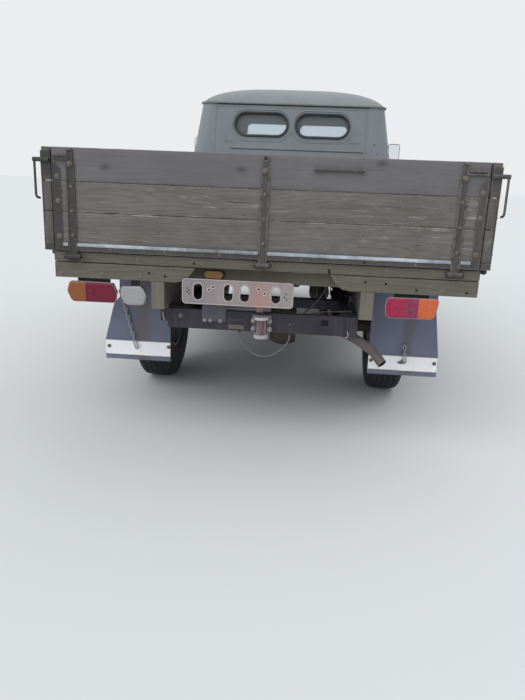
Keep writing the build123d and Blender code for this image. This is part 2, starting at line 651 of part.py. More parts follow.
def exhaust():
    """Silencer under the right rail and a tailpipe over the axle that bends out at its end."""
    points = [
        (ENGINE_HALF, ENGINE_REAR + 60, 628),
        (300, ENGINE_REAR + 60, 628),
        (300, ENGINE_REAR - 190, 480),
        (300, REAR_AXLE_Y + 390, 480),
        (300, REAR_AXLE_Y + 180, 600),
        (300, REAR_AXLE_Y - 270, 600),
        (330, REAR_AXLE_Y - 650, 532),
        (466, REAR_AXLE_Y - 840, 520),
        (575, REAR_AXLE_Y - 812, 444),
        (623, REAR_AXLE_Y - 860, 391),
    ]
    path = FilletPolyline(*points, radius=60)
    start = Plane(origin=points[0], z_dir=(1, 0, 0))
    outer = sweep(start * Circle(PIPE_R), path=path)
    mouth, inward = Vector(*points[-1]), Vector(*points[-2]) - Vector(*points[-1])
    bore = rod(mouth - inward.normalized(), mouth + inward.normalized() * PIPE_DEPTH, PIPE_R - PIPE_WALL)
    silencer = rod((300, MUFFLER_FRONT, 480), (300, MUFFLER_FRONT - MUFFLER_LENGTH, 480), MUFFLER_R)
    pipe = outer + silencer
    for y in (CROSS_MEMBER_Y[2], CROSS_MEMBER_Y[1]):
        pipe += block(290, 310, y - 10, y + 10, 490, RAIL_TOP - CHANNEL_T - CROSS_MEMBER_H)
    write("exhaust", pipe - bore)


def plan_face(level, inset):
    """The cab's outline at one height: straight sides and rear, bowed front, round corners."""
    z, half, ahead, setback, bow, rear_r, front_r = level
    half, rear, front = half - inset, CAB_REAR + setback + inset, FRONT_AXLE_Y + ahead - inset
    shoulder = front - bow
    with BuildSketch(Plane.XY.offset(z)) as section:
        with BuildLine():
            Polyline((-half, shoulder), (-half, rear), (half, rear), (half, shoulder))
            ThreePointArc((half, shoulder), (0, front), (-half, shoulder))
        make_face()
        fillet(section.vertices().group_by(Axis.Y)[0], rear_r - min(inset, WALL))
        ends = [v for v in section.vertices() if abs(v.Y - shoulder) < 1 and abs(abs(v.X) - half) < 1]
        fillet(ends, front_r - min(inset, WALL))
    return section.sketch.face()


def cab_solid(inset):
    """The cab's walls as one solid, set in by a thickness."""
    return loft([plan_face(level, inset) for level in CAB_LEVELS], ruled=True)


def roof_solid(inset, drop):
    """The crowned roof above the last level of the walls."""
    z, half, ahead, setback, bow, rear_r, front_r = CAB_LEVELS[-1]
    sections = []
    for angle in ROOF_STEPS:
        step = inset + ROOF_SHOULDER * (1 - cos(radians(angle)))
        height = z + (ROOF_RISE - drop) * sin(radians(angle))
        level = (height, half - step, ahead - step, setback + step, bow, rear_r, front_r)
        sections.append(plan_face(level, 0))
    return loft(sections, ruled=True)


def side_prism(points, corner_r, grow=0.0):
    """A prism through the right side wall with the given side outline."""
    outline = make_face(Polyline(*[(FRONT_AXLE_Y + y, z) for y, z in points], close=True))
    outline = fillet(outline.vertices(), corner_r)
    if grow:
        outline = offset(outline, amount=grow)
    return extrude(Plane.YZ.offset(650) * outline, 400)


def door_outline(grow):
    """Side outline of the right door, its lower rear corner cut round the wheel arch."""
    outline = make_face(
        Polyline(
            (DOOR_REAR - grow, DOOR_BOTTOM - grow),
            (DOOR_FRONT + grow, DOOR_BOTTOM - grow),
            (DOOR_FRONT + grow, DOOR_TOP + grow),
            (DOOR_REAR - grow, DOOR_TOP + grow),
            close=True,
        )
    )
    outline -= Pos(FRONT_AXLE_Y, TYRE_R) * Circle(ARCH_R + DOOR_ARCH_MARGIN - grow)
    corners = [v for v in outline.vertices() if abs(v.Y - DOOR_TOP - grow) < 1]
    outline = fillet(corners, DOOR_CORNER_R + grow)
    return extrude(Plane.YZ.offset(650) * outline, 400)


def slot_prism(x, z, length, height):
    """A round-ended opening through the rear wall."""
    return extrude(Plane.XZ.offset(-CAB_REAR - 114) * Pos(x, z) * SlotOverall(length, height), 200)


def windscreen_prism():
    """One of the two windscreen openings, narrower at its top."""
    outline = make_face(Polyline(*SCREEN, close=True))
    outline = fillet(outline.vertices(), SCREEN_CORNER_R)
    return extrude(Plane.XZ.offset(-FRONT_AXLE_Y - 710) * outline, -400)


def hinge_frame(along):
    """Place on the right door's tilted hinge line: local Z along it, X outward, Y forward."""
    y = DOOR_FRONT + DOOR_GAP / 2
    low, high = Vector(HINGE_LOW[0], y, HINGE_LOW[1]), Vector(HINGE_HIGH[0], y, HINGE_HIGH[1])
    line = (high - low).normalized()
    return Location(Plane(origin=low + line * along, x_dir=Vector(0, 1, 0).cross(line), z_dir=line))


def door_barrels():
    """The door's half of each hinge with the bore for its pin."""
    pieces = []
    for along in HINGE_PLACES:
        place = hinge_frame(along)
        half = DOOR_HINGE_HALF
        barrel = rod((0, 0, -half), (0, 0, half), DOOR_HINGE_R) + block(-30, 2, -DOOR_LEAF, 0, -half, half)
        bore = rod((0, 0, -half - 1), (0, 0, half + 1), DOOR_PIN_R + RUNNING_FIT)
        pieces.append((place * barrel, place * bore))
    return pieces


def door_lugs():
    """The cab's half of each hinge: a pin and a lug at each of its ends."""
    pieces = []
    for along in HINGE_PLACES:
        inner, outer = DOOR_HINGE_HALF + LUG_GAP, DOOR_HINGE_HALF + LUG_GAP + LUG_T
        hinge = rod((0, 0, -outer), (0, 0, outer), DOOR_PIN_R)
        for low, high in ((-outer, -inner), (inner, outer)):
            hinge += rod((0, 0, low), (0, 0, high), DOOR_HINGE_R)
            hinge += block(-30, 2, 0, DOOR_LEAF, low, high)
        pieces.append(hinge_frame(along) * hinge)
    return pieces


def cab():
    """Hollow cab: walls with floor, roof, arch liners, doors and glass."""
    outer, inner = cab_solid(0), cab_solid(WALL)
    walls = outer - inner
    door_hole, door_body = door_outline(DOOR_GAP), door_outline(0)
    window = side_prism(DOOR_WINDOW, 45)
    door = (walls & door_body) - window
    rear_slots = [slot_prism(side * REAR_WINDOW_X, REAR_WINDOW_Z, *REAR_WINDOW) for side in (-1, 1)]
    screen = windscreen_prism()
    screens = [screen, mirrored(screen)]
    nose = FRONT_AXLE_Y + 760, FRONT_AXLE_Y + 1110
    grille_hole = block(-GRILLE_HALF, GRILLE_HALF, *nose, GRILLE_BOTTOM, GRILLE_TOP)
    grille_hole = fillet(grille_hole.edges().filter_by(Axis.Y), 60)
    lamp_holes = [
        rod((side * x, nose[0], z), (side * x, nose[1], z), r + BALL_GAP)
        for side in (-1, 1)
        for x, z, r in ((LAMP_X, LAMP_Z, LAMP_R), (TURN_X, TURN_Z, TURN_R))
    ]
    floor = inner & block(-1000, 1000, CAB_REAR, nose[1], RAIL_TOP, RAIL_TOP + CAB_FLOOR_T)
    arch = rod((ARCH_IN, FRONT_AXLE_Y, TYRE_R), (1100, FRONT_AXLE_Y, TYRE_R), ARCH_R)
    rail_notches = [
        block(-RAIL_OUT - 10, RAIL_OUT + 10, y0, y1, 500, RAIL_TOP)
        for y0, y1 in ((CAB_REAR - 80, CAB_REAR + 200), nose)
    ]
    shell = walls
    for hole in (door_hole, arch):
        shell = shell - hole - mirrored(hole)
    shell = shell - rear_slots - screens - grille_hole - lamp_holes - rail_notches
    floor = floor - arch - mirrored(arch)
    floor -= block(-ENGINE_HOLE_X, ENGINE_HOLE_X, *ENGINE_HOLE_Y, RAIL_TOP - 1, RAIL_TOP + CAB_FLOOR_T + 1)
    write("cab_floor", floor)
    rib_band = (cab_solid(-REAR_RIB_OUT) - outer) & block(-1000, 1000, 0, CAB_REAR + WALL, 1300, 1800)
    for rib in REAR_RIBS:
        shell += rib_band & slot_prism(*rib)
    length, height = REAR_WINDOW
    inside, width = 2 * SURROUND_IN, 2 * SURROUND_W
    for side in (-1, 1):
        place = side * REAR_WINDOW_X, REAR_WINDOW_Z
        surround = slot_prism(*place, length + inside + width, height + inside + width)
        shell += rib_band & (surround - slot_prism(*place, length + inside, height + inside))
    for lugs in door_lugs():
        shell += lugs
        shell += mirrored(lugs)
    write("cab_shell", shell)

    top = CAB_LEVELS[-1]
    z, half, ahead, setback, bow, rear_r, front_r = top
    drip = (z, half + DRIP_OUT, ahead + DRIP_OUT, setback - DRIP_OUT, bow, rear_r + DRIP_OUT, front_r + DRIP_OUT)
    gutter = extrude(plan_face(drip, 0), DRIP_H) - extrude(plan_face(top, WALL), DRIP_H)
    roof = roof_solid(0, 0) - roof_solid(WALL, ROOF_WALL) + gutter
    write("cab_roof", roof)

    liner = rod((ARCH_IN - LINER_T, FRONT_AXLE_Y, TYRE_R), (1100, FRONT_AXLE_Y, TYRE_R), ARCH_R + LINER_T)
    liner = (liner - arch) & inner
    liner &= block(0, 1100, CAB_REAR, nose[1], RAIL_TOP + CAB_FLOOR_T, 1200)
    write("wheel_arches", liner, mirrored(liner))

    pane_band = cab_solid(GLASS_IN) - cab_solid(GLASS_IN + GLASS_T)
    panes = [pane_band & hole for hole in screens + rear_slots]
    write("cab_glass", *panes)
    door_pane = pane_band & window
    for barrel, bore in door_barrels():
        door = door + barrel - bore
    write("door_right", door)
    write("door_left", mirrored(door))
    write("door_glass_right", door_pane)
    write("door_glass_left", mirrored(door_pane))


def front_details():
    """Grille, lamps and bumper of the front."""
    nose = FRONT_AXLE_Y + 895
    frame_out = block(-GRILLE_HALF, GRILLE_HALF, nose, nose + 55, GRILLE_BOTTOM, GRILLE_TOP)
    frame_in = block(
        -GRILLE_HALF + 14, GRILLE_HALF - 14, nose - 5, nose + 65, GRILLE_BOTTOM + 14, GRILLE_TOP - 14
    )
    grille = fillet(frame_out.edges().filter_by(Axis.Y), 60) - fillet(frame_in.edges().filter_by(Axis.Y), 46)
    pitch = 2 * GRILLE_HALF / (GRILLE_BARS + 1)
    for k in range(GRILLE_BARS):
        x = -GRILLE_HALF + pitch * (k + 1)
        grille += block(x - 8, x + 8, nose + 10, nose + 35, GRILLE_BOTTOM + 6, GRILLE_TOP - 6)
    write("grille", grille)

    lamps, turns = [], []
    for side in (-1, 1):
        x, face = side * LAMP_X, nose + 67
        lamp = rod((x, nose - 25, LAMP_Z), (x, face, LAMP_Z), LAMP_R)
        dome = Pos(x, face - LAMP_DEPTH, LAMP_Z) * Sphere(sqrt(LAMP_R**2 + LAMP_DEPTH**2))
        dome &= block(x - 2 * LAMP_R, x + 2 * LAMP_R, face, face + LAMP_R, LAMP_Z - 2 * LAMP_R, LAMP_Z + 2 * LAMP_R)
        lamps.append(lamp + dome)
        x = side * TURN_X
        turns.append(rod((x, nose - 15, TURN_Z), (x, nose + 57, TURN_Z), TURN_R))
    write("front_lamps", *lamps, *turns)

    bumper = block(-BUMPER_HALF, BUMPER_HALF, RAIL_FRONT, BUMPER_FRONT, BUMPER_BOTTOM, BUMPER_TOP)
    bumper = fillet(bumper.edges().filter_by(Axis.Z).group_by(Axis.Y)[-1], BUMPER_FRONT - RAIL_FRONT - 2)
    bumper -= block(
        -BUMPER_HALF, BUMPER_HALF, RAIL_FRONT, BUMPER_FRONT - BUMPER_T, BUMPER_BOTTOM + BUMPER_T, BUMPER_TOP - BUMPER_T
    )
    write("front_bumper", bumper)


def interior():
    """Seats, dashboard, steering wheel and the cover over the engine."""
    arch_top = TYRE_R + ARCH_R + LINER_T
    cushions = []
    for side in (-1, 1):
        x0, x1 = sorted((side * SEAT_IN, side * SEAT_OUT))
        base = block(x0, x1, SEAT_REAR, SEAT_FRONT, arch_top, arch_top + SEAT_T)
        back = block(x0, x1, SEAT_REAR - BACK_T, SEAT_REAR, arch_top + BACK_BOTTOM, arch_top + BACK_TOP)
        cushions += [fillet(piece.edges().filter_by(Axis.X), SEAT_CORNER_R) for piece in (base, back)]
    write("seats", *cushions)
    deck = RAIL_TOP + CAB_FLOOR_T
    rear, front = ENGINE_HOLE_Y[0] - 30, ENGINE_HOLE_Y[1] + 30
    cover = block(-300, 300, rear, front, deck, 1150)
    cover = fillet(cover.edges().filter_by(Axis.Y).group_by(Axis.Z)[-1], 60)
    hollow = block(-282, 282, rear + 18, front - 18, deck, 1132)
    write("engine_cover", cover - fillet(hollow.edges().filter_by(Axis.Y).group_by(Axis.Z)[-1], 44))
    inner = cab_solid(WALL)
    dash = inner & block(-900, 900, FRONT_AXLE_Y + 670, FRONT_AXLE_Y + 870, 1120, 1270)
    write("dashboard", dash)
    ring = Torus(STEERING_R, STEERING_ROD_R) + Cylinder(45, 26)
    spoke = STEERING_R - 15
    for angle in (0, 120, 240):
        ring += Rot(Z=angle + 90) * Pos(spoke / 2 + 15, 0, 0) * Box(spoke, 24, 10)
    column = Pos(0, 0, -COLUMN_LENGTH / 2) * Cylinder(COLUMN_R, COLUMN_LENGTH)
    wheel = Location(Vector(*STEERING_AT)) * Rot(X=STEERING_TILT) * (ring + column)
    wheel -= block(-700, -300, FRONT_AXLE_Y, FRONT_AXLE_Y + 1000, 400, deck)
    write("steering_wheel", wheel)


def bed():
    """Wooden bed: long and cross bearers, floor boards, sill and headboard."""
    long_bearer = block(BEARER_IN, BEARER_OUT, SILL_REAR, BED_FRONT - 10, BEARER_BOTTOM, SILL_BOTTOM)
    bearers = [long_bearer, mirrored(long_bearer)]
    for y in CROSS_BEARER_Y:
        bearers.append(
            block(
                BEARER_LAP - SILL_HALF, SILL_HALF - BEARER_LAP, y - CROSS_BEARER_W / 2, y + CROSS_BEARER_W / 2,
                SILL_BOTTOM + WOOD_GAP, FLOOR_BOTTOM,
            )
        )
    write("bed_bearers", *bearers)

    pitch = 2 * FLOOR_HALF / FLOOR_BOARDS
    boards = [
        block(
            -FLOOR_HALF + k * pitch + PLANK_GAP / 2, -FLOOR_HALF + (k + 1) * pitch - PLANK_GAP / 2,
            SILL_REAR + SILL_T, BED_FRONT - BOARD_T, FLOOR_BOTTOM, FLOOR_TOP,
        )
        for k in range(FLOOR_BOARDS)
    ]
    write("bed_floor", *boards)

    sill = block(-SILL_HALF, SILL_HALF, SILL_REAR, SILL_REAR + SILL_T, SILL_MID, SILL_TOP)
    with BuildSketch(Plane.XZ.offset(-SILL_REAR)) as lower:
        with BuildLine():
            Polyline(
                (SILL_CUT_BOTTOM, SILL_BOTTOM),
                (SILL_HALF, SILL_BOTTOM),
                (SILL_HALF, SILL_MID),
                (SILL_CUT_TOP, SILL_MID),
            )
            ThreePointArc(
                (SILL_CUT_TOP, SILL_MID),
                ((SILL_CUT_TOP + SILL_CUT_BOTTOM) / 2 - 12, (SILL_MID + SILL_BOTTOM) / 2 - 10),
                (SILL_CUT_BOTTOM, SILL_BOTTOM),
            )
        make_face()
    lobe = extrude(lower.sketch, -SILL_T)
    rail_in = SILL_HALF - SIDE_RAIL_W
    side_rail = block(rail_in, SILL_HALF, SILL_REAR + SILL_T + WOOD_GAP, BED_FRONT, SILL_MID, SILL_TOP)
    side_rail -= [
        block(
            rail_in - 1, SILL_HALF - BEARER_LAP, y - CROSS_BEARER_W / 2, y + CROSS_BEARER_W / 2,
            SILL_MID - 1, FLOOR_BOTTOM,
        )
        for y in CROSS_BEARER_Y
    ]
    side_rail -= block(rail_in - 1, FLOOR_HALF, SILL_REAR, BED_FRONT, FLOOR_BOTTOM, FLOOR_TOP)
    write("bed_edge", sill + lobe + mirrored(lobe), side_rail, mirrored(side_rail))

    planks = []
    for low, high in zip((SILL_TOP,) + PLANK_SPLITS[1:-1], PLANK_SPLITS[1:]):
        planks.append(
            block(-TAILGATE_HALF, TAILGATE_HALF, BED_FRONT - BOARD_T, BED_FRONT, low + PLANK_GAP / 2, high)
        )
    planks.append(block(-FLOOR_HALF, FLOOR_HALF, BED_FRONT - BOARD_T, BED_FRONT, FLOOR_BOTTOM, SILL_TOP + 10))
    posts = [
        block(x - 30, x + 30, BED_FRONT, BED_FRONT + 12, SILL_MID, PLANK_SPLITS[-1]) for x in (-700, 0, 700)
    ]
    write("headboard", Part() + planks + posts)


def board_set(length0, length1):
    """Planks that stand above the X axis, from one end to the other, 42 mm thick towards +Y."""
    return [
        block(length0, length1, 0, BOARD_T, low + (PLANK_GAP if index else 0), high)
        for index, (low, high) in enumerate(zip(PLANK_SPLITS[:-1], PLANK_SPLITS[1:]))
    ]


def iron_set(length0, length1, straps):
    """Bottom rail, end angles and hinge straps of a board, outer face at y = 0."""
    rail = block(length0, length1, -3, BOARD_T, GATE_BOTTOM, PLANK_SPLITS[0])
    irons = rail
    head_half = STRAP_HEAD_W / 2
    for x in straps:
        left, right = x - STRAP_W / 2, x + STRAP_W / 2
        strap = block(left, right, -STRAP_T, 0, HINGE_Z, STRAP_HEAD_Z)
        strap -= block(
            left + STRAP_LIP, right - STRAP_LIP, -STRAP_T - 1, STRAP_DISH - STRAP_T,
            HINGE_Z + STRAP_W / 2, STRAP_HEAD_Z - STRAP_LIP,
        )
        head = block(x - head_half, x + head_half, -STRAP_HEAD_T, 0, STRAP_HEAD_Z - STRAP_LIP, PLANK_SPLITS[-1] - 5)
        head = fillet(head.edges().filter_by(Axis.Y).group_by(Axis.Z)[-1], head_half - 2)
        eye_z = PLANK_SPLITS[-1] - 5 - head_half
        head -= rod((x, -STRAP_HEAD_T - 1, eye_z), (x, 1, eye_z), STRAP_HOLE_R)
        knuckle = rod((left, -HINGE_OFF, HINGE_Z), (right, -HINGE_OFF, HINGE_Z), HINGE_R)
        irons = irons + strap + head + knuckle
    for x in straps:
        irons -= rod(
            (x - STRAP_W, -HINGE_OFF, HINGE_Z), (x + STRAP_W, -HINGE_OFF, HINGE_Z), HINGE_PIN_R + RUNNING_FIT
        )
    for x0, x1, inner in ((length0, length0 + ANGLE_W, -1), (length1 - ANGLE_W, length1, 0)):
        angle = block(x0, x1, -ANGLE_T, 0, GATE_BOTTOM, ANGLE_TOP)
        corner = angle.edges().filter_by(Axis.Y).group_by(Axis.Z)[-1].sort_by(Axis.X)[inner]
        irons += chamfer(corner, ANGLE_CUT)
    return irons


def hinge_set(straps, seat):
    """Fixed half of each hinge: pin, two lugs and a plate back to the bed, outer board face at y = 0."""
    pieces = []
    for x in straps:
        reach = STRAP_W / 2 + LUG_GAP + LUG_T
        hinge = rod((x - reach, -HINGE_OFF, HINGE_Z), (x + reach, -HINGE_OFF, HINGE_Z), HINGE_PIN_R)
        for side in (-1, 1):
            inner = x + side * (STRAP_W / 2 + LUG_GAP)
            outer = x + side * reach
            hinge += rod((inner, -HINGE_OFF, HINGE_Z), (outer, -HINGE_OFF, HINGE_Z), HINGE_R)
            x0, x1 = sorted((inner, outer))
            hinge += block(x0, x1, -HINGE_OFF, seat, HINGE_Z - HINGE_R, HINGE_Z + HINGE_R)
        hinge += block(x - reach, x + reach, seat - 6, seat, HINGE_Z - 25, HINGE_Z + HINGE_R)
        pieces.append(hinge)
    return pieces


def latch(end, way):
    """Latch on a side board's end: plate, cross barrel and the bent handle that turns it."""
    near, far = sorted((end, end + way * LATCH_PLATE_T))
    fixed = block(near, far, -ANGLE_T, BOARD_T, ANGLE_TOP - 60, LATCH_Z + 40)
    fixed += block(*sorted((near, end - way * ANGLE_W)), -ANGLE_T, 0, ANGLE_TOP - 60, LATCH_Z + 40)
    y = end + way * (LATCH_PLATE_T + LATCH_R - 1)
    fixed += rod((y, BOARD_T - 2, LATCH_Z), (y, -LATCH_REACH, LATCH_Z), LATCH_R)
    low = LATCH_Z - LATCH_DROP
    out = LATCH_ROD_R + 1 - LATCH_REACH
    path = FilletPolyline(
        (y, out, LATCH_Z), (y, out, low), (y - way * LATCH_FOOT, out, low - LATCH_ROD_R), radius=LATCH_FOOT / 2
    )
    return fixed + sweep(Plane(origin=path @ 0, z_dir=path % 0) * Circle(LATCH_ROD_R), path=path)


def hasp(x, way):
    """Double rod on a tailgate strap's head that the side board's latch holds."""
    out = 2 - STRAP_HEAD_T - HASP_R
    start, end = x + way * (HASP_R + 1), way * HASP_END
    low, high = LATCH_Z + 4, LATCH_Z + 4 + HASP_PITCH
    pieces = [rod((start, out, z), (end, out, z), HASP_R) for z in (low, high)]
    for x in (start + way * HASP_R, end - way * HASP_R):
        pieces.append(rod((x, out, low), (x, out, high), HASP_R - 1))
    return pieces


def side_place(piece):
    """Turns a board drawn along X with its outer face at y = 0 into the right side board."""
    return Pos(SIDE_OUT, 0, 0) * Rot(Z=90) * piece


def drop_sides():
    """Tailgate and side boards with their irons, and the fixed hinge halves."""
    tail = Pos(0, BED_REAR, 0)
    write("tailgate_boards", *[tail * plank for plank in board_set(-TAILGATE_HALF, TAILGATE_HALF)])
    tail_irons = iron_set(-TAILGATE_HALF, TAILGATE_HALF, TAIL_STRAP_X)
    left, right = HANDLE_X
    handle = rod((left, -HANDLE_OUT, HANDLE_Z), (right, -HANDLE_OUT, HANDLE_Z), HANDLE_R)
    for x in (left + 2 * HANDLE_R, right - 2 * HANDLE_R):
        handle += rod((x, -HANDLE_OUT, HANDLE_Z), (x, 0, HANDLE_Z), HANDLE_R - 1)
    tail_irons += handle
    tail_irons += hasp(TAIL_STRAP_X[0], -1)
    tail_irons += hasp(TAIL_STRAP_X[-1], 1)
    write("tailgate_irons", tail * tail_irons)

    planks = [side_place(plank) for plank in board_set(BED_REAR, BED_FRONT)]
    write("side_boards_right", *planks)
    write("side_boards_left", *[mirrored(plank) for plank in planks])
    irons = iron_set(BED_REAR, BED_FRONT, SIDE_STRAP_Y)
    irons += latch(BED_REAR, -1)
    irons += latch(BED_FRONT, 1)
    irons = side_place(irons)
    write("side_irons_right", irons)
    write("side_irons_left", mirrored(irons))

    fixed = [tail * piece for piece in hinge_set(TAIL_STRAP_X, SILL_REAR - BED_REAR)]
    sides = [side_place(piece) for piece in hinge_set(SIDE_STRAP_Y, SIDE_OUT - SILL_HALF)]
    write("bed_hinges", *fixed, *sides, *[mirrored(piece) for piece in sides])


def cord_tube(points, radius):
    """A round tube along straight runs, each corner an arc as large as its two runs allow."""
    vectors = [Vector(*point) for point in points]
    runs = [b - a for a, b in zip(vectors, vectors[1:])]
    radii = []
    for before, after in zip(runs, runs[1:]):
        half_turn = radians(before.get_angle(after) / 2)
        radii.append(0.45 * min(before.length, after.length) / tan(half_turn))
    print("cord radii", [round(r) for r in radii])
    path = FilletPolyline(*points, radius=radii)
    return sweep(Plane(origin=points[0], z_dir=path % 0) * Circle(radius), path=path)


def flat_shape(points, y, thickness, corner_r=0.0):
    """An upright plate with the given outline of x, z, its rear face at y."""
    outline = make_face(Polyline(*points, close=True))
    if corner_r:
        outline = fillet(outline.vertices(), corner_r)
    return extrude(Plane.XZ.offset(-y) * outline, -thickness)


def link():
    """One chain link, long along Z."""
    ring = SlotOverall(LINK_LENGTH, LINK_WIDTH) - SlotOverall(LINK_LENGTH - 2 * LINK_WIRE, LINK_WIDTH - 2 * LINK_WIRE)
    return Rot(Y=90) * extrude(ring, LINK_WIRE / 2, both=True)


def flap_chain(x_top, z_top, x_foot, z_foot):
    """Links from an eye bolt in the flap down to a long open hook held on the strip."""
    y = FLAP_FACE - FLAP_T - CHAIN_OUT
    top, foot = Vector(x_top, y, z_top), Vector(x_foot, y, z_foot)
    run = foot - top
    pitch = LINK_LENGTH - 2 * LINK_WIRE + LINK_LAP
    count = max(1, round(run.length / pitch))
    down = Plane(origin=top, x_dir=(0, 1, 0), z_dir=run.normalized())
    one = link()
    chain = Location(down) * one
    for k in range(1, count):
        chain += Location(down) * Pos(0, 0, k * pitch) * Rot(Z=90 * (k % 2)) * one
    hook = SlotOverall(HOOK_LENGTH, LINK_WIDTH) - SlotOverall(HOOK_LENGTH - 2 * LINK_WIRE, LINK_WIDTH - 2 * LINK_WIRE)
    hook = Rot(Y=90) * extrude(hook, LINK_WIRE / 2, both=True)
    reach = (count - 1) * pitch + pitch / 2 + HOOK_LENGTH / 2 - LINK_WIRE
    chain += Location(down) * Pos(0, 0, reach) * Rot(Z=90 * (count % 2)) * hook
    for place, face in ((Pos(0, 0, LINK_WIRE - LINK_LENGTH / 2), FLAP_T), (Pos(0, 0, reach + HOOK_LENGTH / 2 - LINK_WIRE), FLAP_T + STRIP_T)):
        spot = (Location(down) * place).position
        chain += rod((spot.X, spot.Y - LINK_WIRE, spot.Z), (spot.X, FLAP_FACE - face, spot.Z), LINK_WIRE / 2 + 1)
    return chain


def rear_details():
    """Flaps with their chains, lamps, plate bracket, tow hook and the hanging cable."""
    flaps, strips = [], []
    for inner, foot, top, cut in FLAP_SHAPES:
        way = 1 if foot > 0 else -1
        shape = [
            (inner, FLAP_BOTTOM), (foot, FLAP_BOTTOM), (foot, FLAP_KNEE), (top, FLAP_CORNER_Z - cut),
            (top - way * cut, FLAP_CORNER_Z), (top - way * cut, FLAP_TOP), (inner, FLAP_TOP),
        ]
        if not cut:
            shape.pop(4)
        flaps.append(flat_shape(shape, FLAP_FACE - FLAP_T, FLAP_T))
        strips.append(block(*sorted((inner, foot)), FLAP_FACE - FLAP_T - STRIP_T, FLAP_FACE - FLAP_T, *STRIP_Z))
    write("mudflaps", *flaps)
    write("flap_strips", *strips)
    write("flap_chains", *[flap_chain(*ends) for ends in FLAP_CHAINS])

    seat = SILL_REAR + SILL_T
    lamps = []
    for shape, proud in REAR_LAMPS:
        low, high = min(x for x, z in shape) + 40, max(x for x, z in shape) - 40
        lamp = flat_shape(shape, SILL_REAR - proud, SILL_T + proud, LAMP_CORNER_R)
        foot_z = min(z for x, z in shape) + 20
        lamps.append(lamp + block(low, high, seat, seat + LAMP_FOOT_T, foot_z, SILL_MID))
    lamp_seat = CROSS_BEARER_Y[0] - CROSS_BEARER_W / 2
    marker = extrude(Plane.XZ.offset(-lamp_seat) * Pos(MARKER_X, MARKER_Z) * SlotOverall(*MARKER_SIZE), MARKER_T)
    write("rear_lamps", *lamps, marker)

    plate_y = SILL_REAR - PLATE_SETBACK
    arm_end = RAIL_REAR - BEAM_DEPTH / 2 - 6
    plate = block(*PLATE_X, plate_y, plate_y + PLATE_T, *PLATE_Z)
    plate = fillet(plate.edges().filter_by(Axis.Y), PLATE_CORNER_R)
    for x in PLATE_SLOT_X:
        slot = Pos(x, PLATE_SLOT_Z) * SlotOverall(*PLATE_SLOT, rotation=90)
        plate -= extrude(Plane.XZ.offset(-plate_y + 10) * slot, -30)
    beam_top = RAIL_TOP - 4
    for x in PLATE_ARM_X:
        plate += block(x, x + PLATE_ARM_W, plate_y, arm_end, PLATE_ARM_Z, PLATE_ARM_Z + PLATE_T)
        plate += block(x, x + PLATE_ARM_W, arm_end - PLATE_T, arm_end, beam_top, PLATE_ARM_Z + PLATE_T)
    write("plate_bracket", plate)

    beam_rear = RAIL_REAR - BEAM_DEPTH
    left, right, low, high = HOOK_BASE
    face = beam_rear - HOOK_BASE_T
    hook = block(left, right, face, beam_rear, low, high)
    (low_jaw, low_t), (high_jaw, high_t) = HOOK_JAWS
    half = HOOK_WEB_W / 2
    hook += block(-half, half, face - HOOK_WEB_T, face, low_jaw - low_t / 2, high_jaw + high_t / 2)
    for z, thickness in HOOK_JAWS:
        jaw = Pos(0, face - HOOK_JAW_OUT, z) * Cylinder(HOOK_JAW_R, thickness)
        hook += jaw & block(-HOOK_JAW_R, HOOK_JAW_R, face - 2 * HOOK_JAW_R, face, z - thickness, z + thickness)
    hook += rod((0, face - HOOK_PIN_OUT, low_jaw), (0, face - HOOK_PIN_OUT, high_jaw), HOOK_PIN_R)
    write("tow_hook", hook)

    write("hanging_cable", cord_tube(CABLE_ROUTE, CABLE_R))


def mirrors():
    """Round-cornered mirrors on arms from the windscreen pillars."""
    pillar = DOOR_FRONT + 70
    head = fillet(block(965, 1085, pillar + 10, pillar + 35, 1480, 1680).edges().filter_by(Axis.Y), 20)
    arm = rod((840, pillar, 1500), (1000, pillar + 22, 1590), 8)
    inner = cab_solid(0)
    piece = head + (arm - inner)
    write("mirrors", piece, mirrored(piece))


wheels()
axles()
knuckles()
springs()
frame()
shock_absorbers()
drive_line()
fuel_tanks()
exhaust()
cab()
front_details()
interior()
bed()
drop_sides()
rear_details()
mirrors()
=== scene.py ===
"""A light military cargo truck seen from behind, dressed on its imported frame. Metres, +Y forward."""

import math
import random

import bmesh
import bpy
from mathutils import Matrix, Vector
from mathutils.bvhtree import BVHTree


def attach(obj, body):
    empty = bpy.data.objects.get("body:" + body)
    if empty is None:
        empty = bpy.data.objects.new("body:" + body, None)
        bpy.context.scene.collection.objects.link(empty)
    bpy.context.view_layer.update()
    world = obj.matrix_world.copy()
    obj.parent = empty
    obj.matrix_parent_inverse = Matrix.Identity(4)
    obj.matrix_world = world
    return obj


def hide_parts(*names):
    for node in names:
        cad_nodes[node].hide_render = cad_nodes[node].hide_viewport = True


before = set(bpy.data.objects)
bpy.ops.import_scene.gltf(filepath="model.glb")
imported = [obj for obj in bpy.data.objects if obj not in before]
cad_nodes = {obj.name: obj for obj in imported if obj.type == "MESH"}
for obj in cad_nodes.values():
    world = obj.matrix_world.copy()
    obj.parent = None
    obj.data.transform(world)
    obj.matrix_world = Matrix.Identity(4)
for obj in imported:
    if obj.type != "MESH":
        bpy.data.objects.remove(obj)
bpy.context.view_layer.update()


# The photographer's place: behind the truck at a standing person's chest height, looking down a
# little and slightly to the left, with an ordinary phone lens. Pale floor and soft daylight.
yaw, pitch, roll = math.radians(4.04), math.radians(15.35), math.radians(2.23)
ahead = Vector((-math.sin(yaw) * math.cos(pitch), math.cos(yaw) * math.cos(pitch), -math.sin(pitch)))
level = Vector((math.cos(yaw), math.sin(yaw), 0))
above = level.cross(ahead)
right = math.cos(roll) * level + math.sin(roll) * above
above = math.cos(roll) * above - math.sin(roll) * level
lens = bpy.data.cameras.new("photo_camera")
lens.lens = 32.53
lens.sensor_width = 36
lens.clip_end = 200
